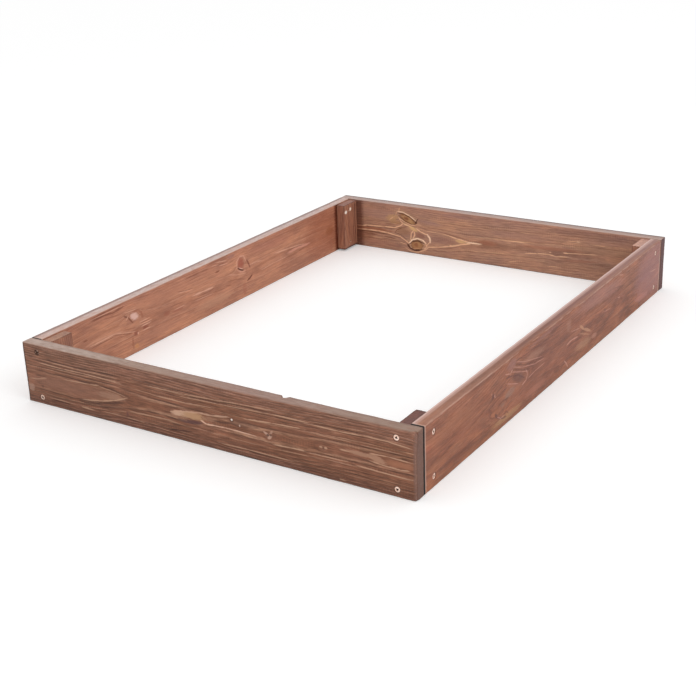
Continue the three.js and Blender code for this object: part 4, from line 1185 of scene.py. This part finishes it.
# %% [markdown]
# Wane is the arris that bark or wear took away, as a radius along the board. The rows of screws, the width of
# a joint's black line of painted shade and the painted shade beside a post are in mm too: a row's distance
# from the board's end, then its two heights, and a post's middle along the board, then half its reach.

# %% Make the boards
FRONT_WANE = [(0, 0), (250, 0.2), (400, 0.8), (560, 2.0), (640, 2.8), (700, 3.2)]
RIGHT_WANE = [(0, 0.4), (250, 0.5), (300, 2.6), (380, 2.8), (430, 0.8), (480, 2.0), (520, 0.6), (850, 0.8),
              (908, 2.5)]
PLAIN_WANE = [(0, 0.2), (450, 0.5), (908, 0.3)]
FRONT_SCREWS, RIGHT_SCREWS = (29.3, 11, 87), (27.8, 16, 82)
timber("front_board", "board", FRONT_LOG, FRONT_TONES, "front_back_stain", FRONT_WANE, bow=0.3, end_wane=2.6,
       marks=FRONT_MARKS, chips=FRONT_CHIPS, screw_inset=FRONT_SCREWS)
timber("back_board", "board", BACK_LOG, BACK_TONES, "front_back_stain", PLAIN_WANE, contrast=0.6, bow=-0.2,
       marks=BACK_MARKS, chips=BACK_CHIPS, post_side=(40, 16))
timber("right_board", "side board", RIGHT_LOG, RIGHT_TONES, "side_stain", RIGHT_WANE, contrast=0.45, bow=0.2,
       end_wane=2.0, marks=RIGHT_MARKS, chips=RIGHT_CHIPS, screw_inset=RIGHT_SCREWS, joint=2.5)
timber("left_board", "side board", LEFT_LOG, LEFT_TONES, "side_stain", PLAIN_WANE, contrast=0.4, bow=0.2,
       marks=LEFT_MARKS, joint=0.8, post_side=(860, 11))

# %% [markdown]
# ## The four posts
#
# The posts are short offcuts of a narrow batten, stood on end, so their grain runs up. They are darker,
# because rough faces hold more stain. Where a screw came through near an edge, it tore the wood.

# %% Make the posts
# painted light and painted shade: each post's end tint makes its top lighter or darker, as the boards round it
# light or shade it
POST_END_LIGHT = {  # the tints of their end grain
    "front_left": (1.15, 1.35, 1.4), "front_right": (0.40, 0.32, 0.38), "back_left": (0.75, 0.72, 0.8),
    "back_right": (1.55, 1.9, 2.25)}
for number, corner_name in enumerate(POST_END_LIGHT):
    torn = corner_name == "back_left"
    timber(corner_name + "_post", "post", dict(POST_LOG, seed=POST_LOG["seed"] + 6.0 * number),
           dict(POST_TONES, end=POST_END_LIGHT[corner_name]), "post_stain", relief=0.12, arris=0.8,
           marks=TORN_MARKS if torn else (), chips=TORN_CHIPS if torn else ())

# %% [markdown]
# ## The screws
#
# They are yellow-zinc plated chipboard screws. One screw is turned with its countersunk head, smooth neck,
# thread and gimlet point, its cross recess is cut once, and Geometry Nodes set a copy at each place, each
# stopped at its own turn of the driver.

# %% Turn one screw
THREAD_RADIUS, CORE_RADIUS, NECK_RADIUS = 2.1 * MM, 1.4 * MM, 1.6 * MM
THREAD_START, THREAD_PITCH, POINT_LENGTH = 15.0 * MM, 2.4 * MM, 6.0 * MM
CREST_SHARE = 0.24  # of a pitch, from the ridge to where it ends


def threaded(radius, height, angle):
    """Lifts a sharp ridge that climbs once round the core in each pitch."""
    if height < THREAD_START:
        return radius
    turn_share = (height / THREAD_PITCH - angle / (2 * math.pi)) % 1.0
    crest = max(0.0, 1.0 - abs(turn_share - 0.5) / CREST_SHARE)
    fade = min(1.0, (height - THREAD_START) / THREAD_PITCH)
    return radius + crest * fade * (THREAD_RADIUS - CORE_RADIUS) * radius / CORE_RADIUS


head_profile = [(0.9, 0.0), (3.9, 0.0), (4.2, 0.12), (4.3, 0.35), (4.3, 0.55), (4.15, 0.75), (2.2, 2.7),
                (1.7, 3.2), (1.6, 4.2)]
profile = [(r * MM, h * MM) for r, h in head_profile]
profile += [(NECK_RADIUS, THREAD_START - 0.6 * MM), (CORE_RADIUS, THREAD_START)]
row = THREAD_START
while row < screw_length - 0.4 * MM:
    row += THREAD_PITCH / 8
    left_over = max(screw_length - row, 0.0)
    radius = CORE_RADIUS * min(1.0, 0.12 + left_over / POINT_LENGTH)
    profile.append((radius, min(row, screw_length - 0.05 * MM)))
blank_screw = turned("screw blank", profile, 20, threaded)
print("screw blank:", len(blank_screw.data.polygons), "faces")

# %% Cut its cross recess
recess = bpy.data.meshes.new("cross recess")
form = bmesh.new()
WING_HALF, WING_WIDTH, RECESS_DEPTH = 2.6 * MM, 0.65 * MM, 2.4 * MM
for swap in (False, True):
    loops = []
    for height, shrink, thin in ((-0.5 * MM, 1.05, 1.05), (RECESS_DEPTH, 0.30, 0.6)):
        x, y = WING_HALF * shrink, WING_WIDTH * thin
        ring = [(-x, -y), (x, -y), (x, y), (-x, y)]
        loops.append([form.verts.new((b, -a, height) if swap else (a, b, height)) for a, b in ring])
    for i in range(4):
        form.faces.new((loops[0][i], loops[0][(i + 1) % 4], loops[1][(i + 1) % 4], loops[1][i]))
    form.faces.new(list(reversed(loops[0])))
    form.faces.new(loops[1])
middle_of_cone = Matrix.Translation((0, 0, RECESS_DEPTH / 2 - 0.2 * MM)) @ Matrix.Rotation(math.pi, 4, "X")
bmesh.ops.create_cone(form, cap_ends=True, segments=12, radius1=0.7 * MM, radius2=1.6 * MM,
                      depth=RECESS_DEPTH + 0.6 * MM, matrix=middle_of_cone)
bmesh.ops.recalc_face_normals(form, faces=form.faces)
form.to_mesh(recess)
form.free()
recess_tool = bpy.data.objects.new("cross recess", recess)
for helper in (blank_screw, recess_tool):
    bpy.context.scene.collection.objects.link(helper)
cut = blank_screw.modifiers.new("recess", "BOOLEAN")
cut.object = recess_tool
cut.solver = "EXACT"
cut.use_self = True
depsgraph = bpy.context.evaluated_depsgraph_get()
screw_mesh = bpy.data.meshes.new_from_object(blank_screw.evaluated_get(depsgraph), depsgraph=depsgraph)
point_values(screw_mesh, "sunk", "FLOAT", [
    co.z / RECESS_DEPTH if co.xy.length < WING_HALF * 1.08 and co.z < RECESS_DEPTH + 0.3 * MM else 0.0
    for co in (vertex.co for vertex in screw_mesh.vertices)])
master_screw = bpy.data.objects.new("one screw", screw_mesh)
bpy.context.scene.collection.objects.link(master_screw)
print("one screw:", len(screw_mesh.polygons), "faces")

# %% [markdown]
# Yellow-zinc plating is steel with a thin bath of zinc and a yellow passivation, so it is a metal with a warm,
# uneven tint, polished but scuffed by the driver. The recess is painted darker the deeper it goes, a painted
# shade for the little light that reaches it, and some heads have dirt and stain on them.

# %% Yellow-zinc plated steel
ZINC_ROUGHNESS = 0.28
BATH_SPOT, GRIME_SPOT, SCUFF_SPOT = 2.2 * MM, 1.8 * MM, 0.25 * MM
zinc, tree = new_finish("yellow-zinc plated steel")
where = add(tree, "ShaderNodeTexCoord", out="Object")
bath = add(tree, NOISE, {"Vector": where, "Scale": 1 / BATH_SPOT, "Detail": 2.0})
tint = ramp(tree, bath, (0.35, "#e0b6a0"), (0.65, "#ffe6d8"))
# painted shade: the recess is coloured near black by its depth
depth = add(tree, "ShaderNodeAttribute", out="Fac", attribute_name="sunk")
depth = add(tree, RANGE, {0: depth, 1: 0.0, 2: 0.35})
tint = add(tree, MIX, {0: depth, 6: tint, 7: linear("#2b1a10")}, out=2, data_type="RGBA")
grime_here = add(tree, "ShaderNodeAttribute", out="Fac", attribute_name="grime")
smear = add(tree, NOISE, {"Vector": where, "Scale": 1 / GRIME_SPOT, "Detail": 3.0})
smear = add(tree, RANGE, {0: smear, 1: 0.35, 2: 0.6, 3: 0.5, 4: 1.2})
smear = add(tree, MATH, {0: smear, 1: grime_here}, operation="MULTIPLY")
tint = add(tree, MIX, {0: smear, 6: tint, 7: linear("#4a2d20")}, out=2, data_type="RGBA")
dull = add(tree, RANGE, {0: bath, 1: 0.3, 2: 0.7, 3: ZINC_ROUGHNESS - 0.06, 4: ZINC_ROUGHNESS + 0.12})
scuff = add(tree, NOISE, {"Vector": where, "Scale": 1 / SCUFF_SPOT, "Detail": 2.0})
bump = add(tree, BUMP, {"Strength": 0.3, "Distance": 0.03 * MM, "Height": scuff})
surface(tree, add(tree, PRINCIPLED, {"Base Color": tint, "Metallic": 1.0, "Roughness": dull, "Normal": bump}))

# %% Set the screws
SCREW_FOLD = 32  # degrees
tree, given = new_recipe("screws recipe", Places="Object", Screw="Object", Seed="Int", Finish="Material")
points = add(tree, "GeometryNodeObjectInfo", {"Object": given["Places"]}, out="Geometry")
screw = add(tree, "GeometryNodeObjectInfo", {"Object": given["Screw"]}, out="Geometry")
drive = add(tree, "GeometryNodeInputNamedAttribute", {"Name": "drive"}, data_type="FLOAT_VECTOR")
aim = add(tree, "FunctionNodeAlignRotationToVector", {"Vector": drive}, axis="Z")
chance = add(tree, "FunctionNodeRandomValue", {2: 0.0, 3: 2 * math.pi, "Seed": given["Seed"]}, out=1)
spin = add(tree, "FunctionNodeAxisAngleToRotation", {"Axis": (0, 0, 1), "Angle": chance})
aim = add(tree, "FunctionNodeRotateRotation", {0: aim, 1: spin}, rotation_space="LOCAL")
copies = add(tree, "GeometryNodeInstanceOnPoints", {"Points": points, "Instance": screw, "Rotation": aim})
close_recipe(tree, copies, given["Finish"], SCREW_FOLD)
screws = run_recipe("screws", tree, {
    "Places": screw_places, "Screw": master_screw, "Seed": 4, "Finish": zinc})
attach(screws, "root")
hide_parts(*SCREW_NAMES)
print("screws:", len(screws.data.polygons), "faces")

# %% [markdown]
# ## Torn fibres
#
# The side screws are a little longer than a board and a post together, so their tips break out of the posts
# and push up a crown of raw splinters. A recipe scatters them: it copies each tip's place a few times,
# moves each copy out to a ring, and leans a sliver outwards there. Raw pine that no stain has reached is
# pale and matt.

# %% Raw torn pine
TORN_SPOT = 1.2 * MM
torn_pine, tree = new_finish("raw torn pine")
where = add(tree, "ShaderNodeTexCoord", out="Object")
patch = add(tree, NOISE, {"Vector": where, "Scale": 1 / TORN_SPOT, "Detail": 2.0})
raw = ramp(tree, patch, (0.38, "#a9714e"), (0.62, "#eccba6"))
bump = add(tree, BUMP, {"Strength": 0.5, "Distance": 0.1 * MM, "Height": patch})
surface(tree, add(tree, PRINCIPLED, {"Base Color": raw, "Roughness": 0.7, "Normal": bump,
                                     "IOR": WOOD_IOR, "Specular IOR Level": OPEN_FIBRES}))

# %% Splinter recipe
SLIVER_SIZES = ((0.7, 0.7, 0.35), (1.5, 1.3, 1.2))
tree, given = new_recipe("splinters recipe", Places="Object", Sliver="Object", Count="Int", Ring="Float",
                         Lean="Float", Seed="Int", Finish="Material")
points = add(tree, "GeometryNodeObjectInfo", {"Object": given["Places"]}, out="Geometry")
sliver = add(tree, "GeometryNodeObjectInfo", {"Object": given["Sliver"]}, out="Geometry")
points = add(tree, "GeometryNodeMeshToPoints", {"Mesh": points})
copies = add(tree, "GeometryNodeDuplicateElements", {"Geometry": points, "Amount": given["Count"]},
             domain="POINT")
drive = add(tree, "GeometryNodeInputNamedAttribute", {"Name": "drive"}, data_type="FLOAT_VECTOR")
stir = add(tree, "FunctionNodeRandomValue", {0: (-1, -1, -1), 1: (1, 1, 1), "Seed": given["Seed"]},
           data_type="FLOAT_VECTOR")
radial = add(tree, VECTOR, {0: drive, 1: stir}, operation="CROSS_PRODUCT")
radial = add(tree, VECTOR, {0: radial}, operation="NORMALIZE")
offset = add(tree, VECTOR, {0: radial, "Scale": given["Ring"]}, operation="SCALE")
copies = add(tree, "GeometryNodeSetPosition", {"Geometry": copies, "Offset": offset})
lean_seed = add(tree, MATH, {0: given["Seed"], 1: 7.0}, operation="ADD")
lean = add(tree, "FunctionNodeRandomValue", {2: 0.2, 3: 1.0, "Seed": lean_seed}, out=1)
lean = add(tree, MATH, {0: lean, 1: given["Lean"]}, operation="MULTIPLY")
aim = add(tree, VECTOR, {0: radial, "Scale": lean}, operation="SCALE")
aim = add(tree, VECTOR, {0: aim, 1: drive}, operation="ADD")
aim = add(tree, "FunctionNodeAlignRotationToVector", {"Vector": aim}, axis="Z")
size = add(tree, "FunctionNodeRandomValue", {0: SLIVER_SIZES[0], 1: SLIVER_SIZES[1], "Seed": given["Seed"]},
           data_type="FLOAT_VECTOR")
slivers = add(tree, "GeometryNodeInstanceOnPoints", {"Points": copies, "Instance": sliver, "Rotation": aim,
                                                     "Scale": size})
close_recipe(tree, slivers, given["Finish"])
print("splinter recipe:", len(tree.nodes), "nodes")

# %% Splinters where the tips break out
TIP_ROOT = 0.7 * MM
post_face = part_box("front_left_post")[1].x
exits = [(head, drive) for head, drive in screw_heads if abs(drive.x) > 0.5]
exit_points = [(math.copysign(abs(post_face), head.x) + drive.x * -TIP_ROOT, head.y, head.z)
               for head, drive in exits]
exit_mesh = bpy.data.meshes.new("exit places")
exit_mesh.from_pydata(exit_points, [], [])
point_values(exit_mesh, "drive", "FLOAT_VECTOR", [drive for _, drive in exits])
exit_places = bpy.data.objects.new("exit places", exit_mesh)
sliver = turned("sliver", [(0.34 * MM, 0.0), (0.28 * MM, 1.2 * MM), (0.05 * MM, 3.0 * MM)], 5)
for helper in (exit_places, sliver):
    bpy.context.scene.collection.objects.link(helper)
splinters = run_recipe("tip_splinters", tree, {"Places": exit_places, "Sliver": sliver, "Count": 11,
                                               "Ring": 1.9 * MM, "Lean": 1.1, "Seed": 9, "Finish": torn_pine})
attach(splinters, "root")
print("splinters:", len(splinters.data.polygons), "faces round", len(exits), "tips")

# %% Put the helpers away and find the bounds
for helper in (screw_places, screw_bore, blank_screw, recess_tool, master_screw, exit_places, sliver):
    bpy.data.objects.remove(helper)
low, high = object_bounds()
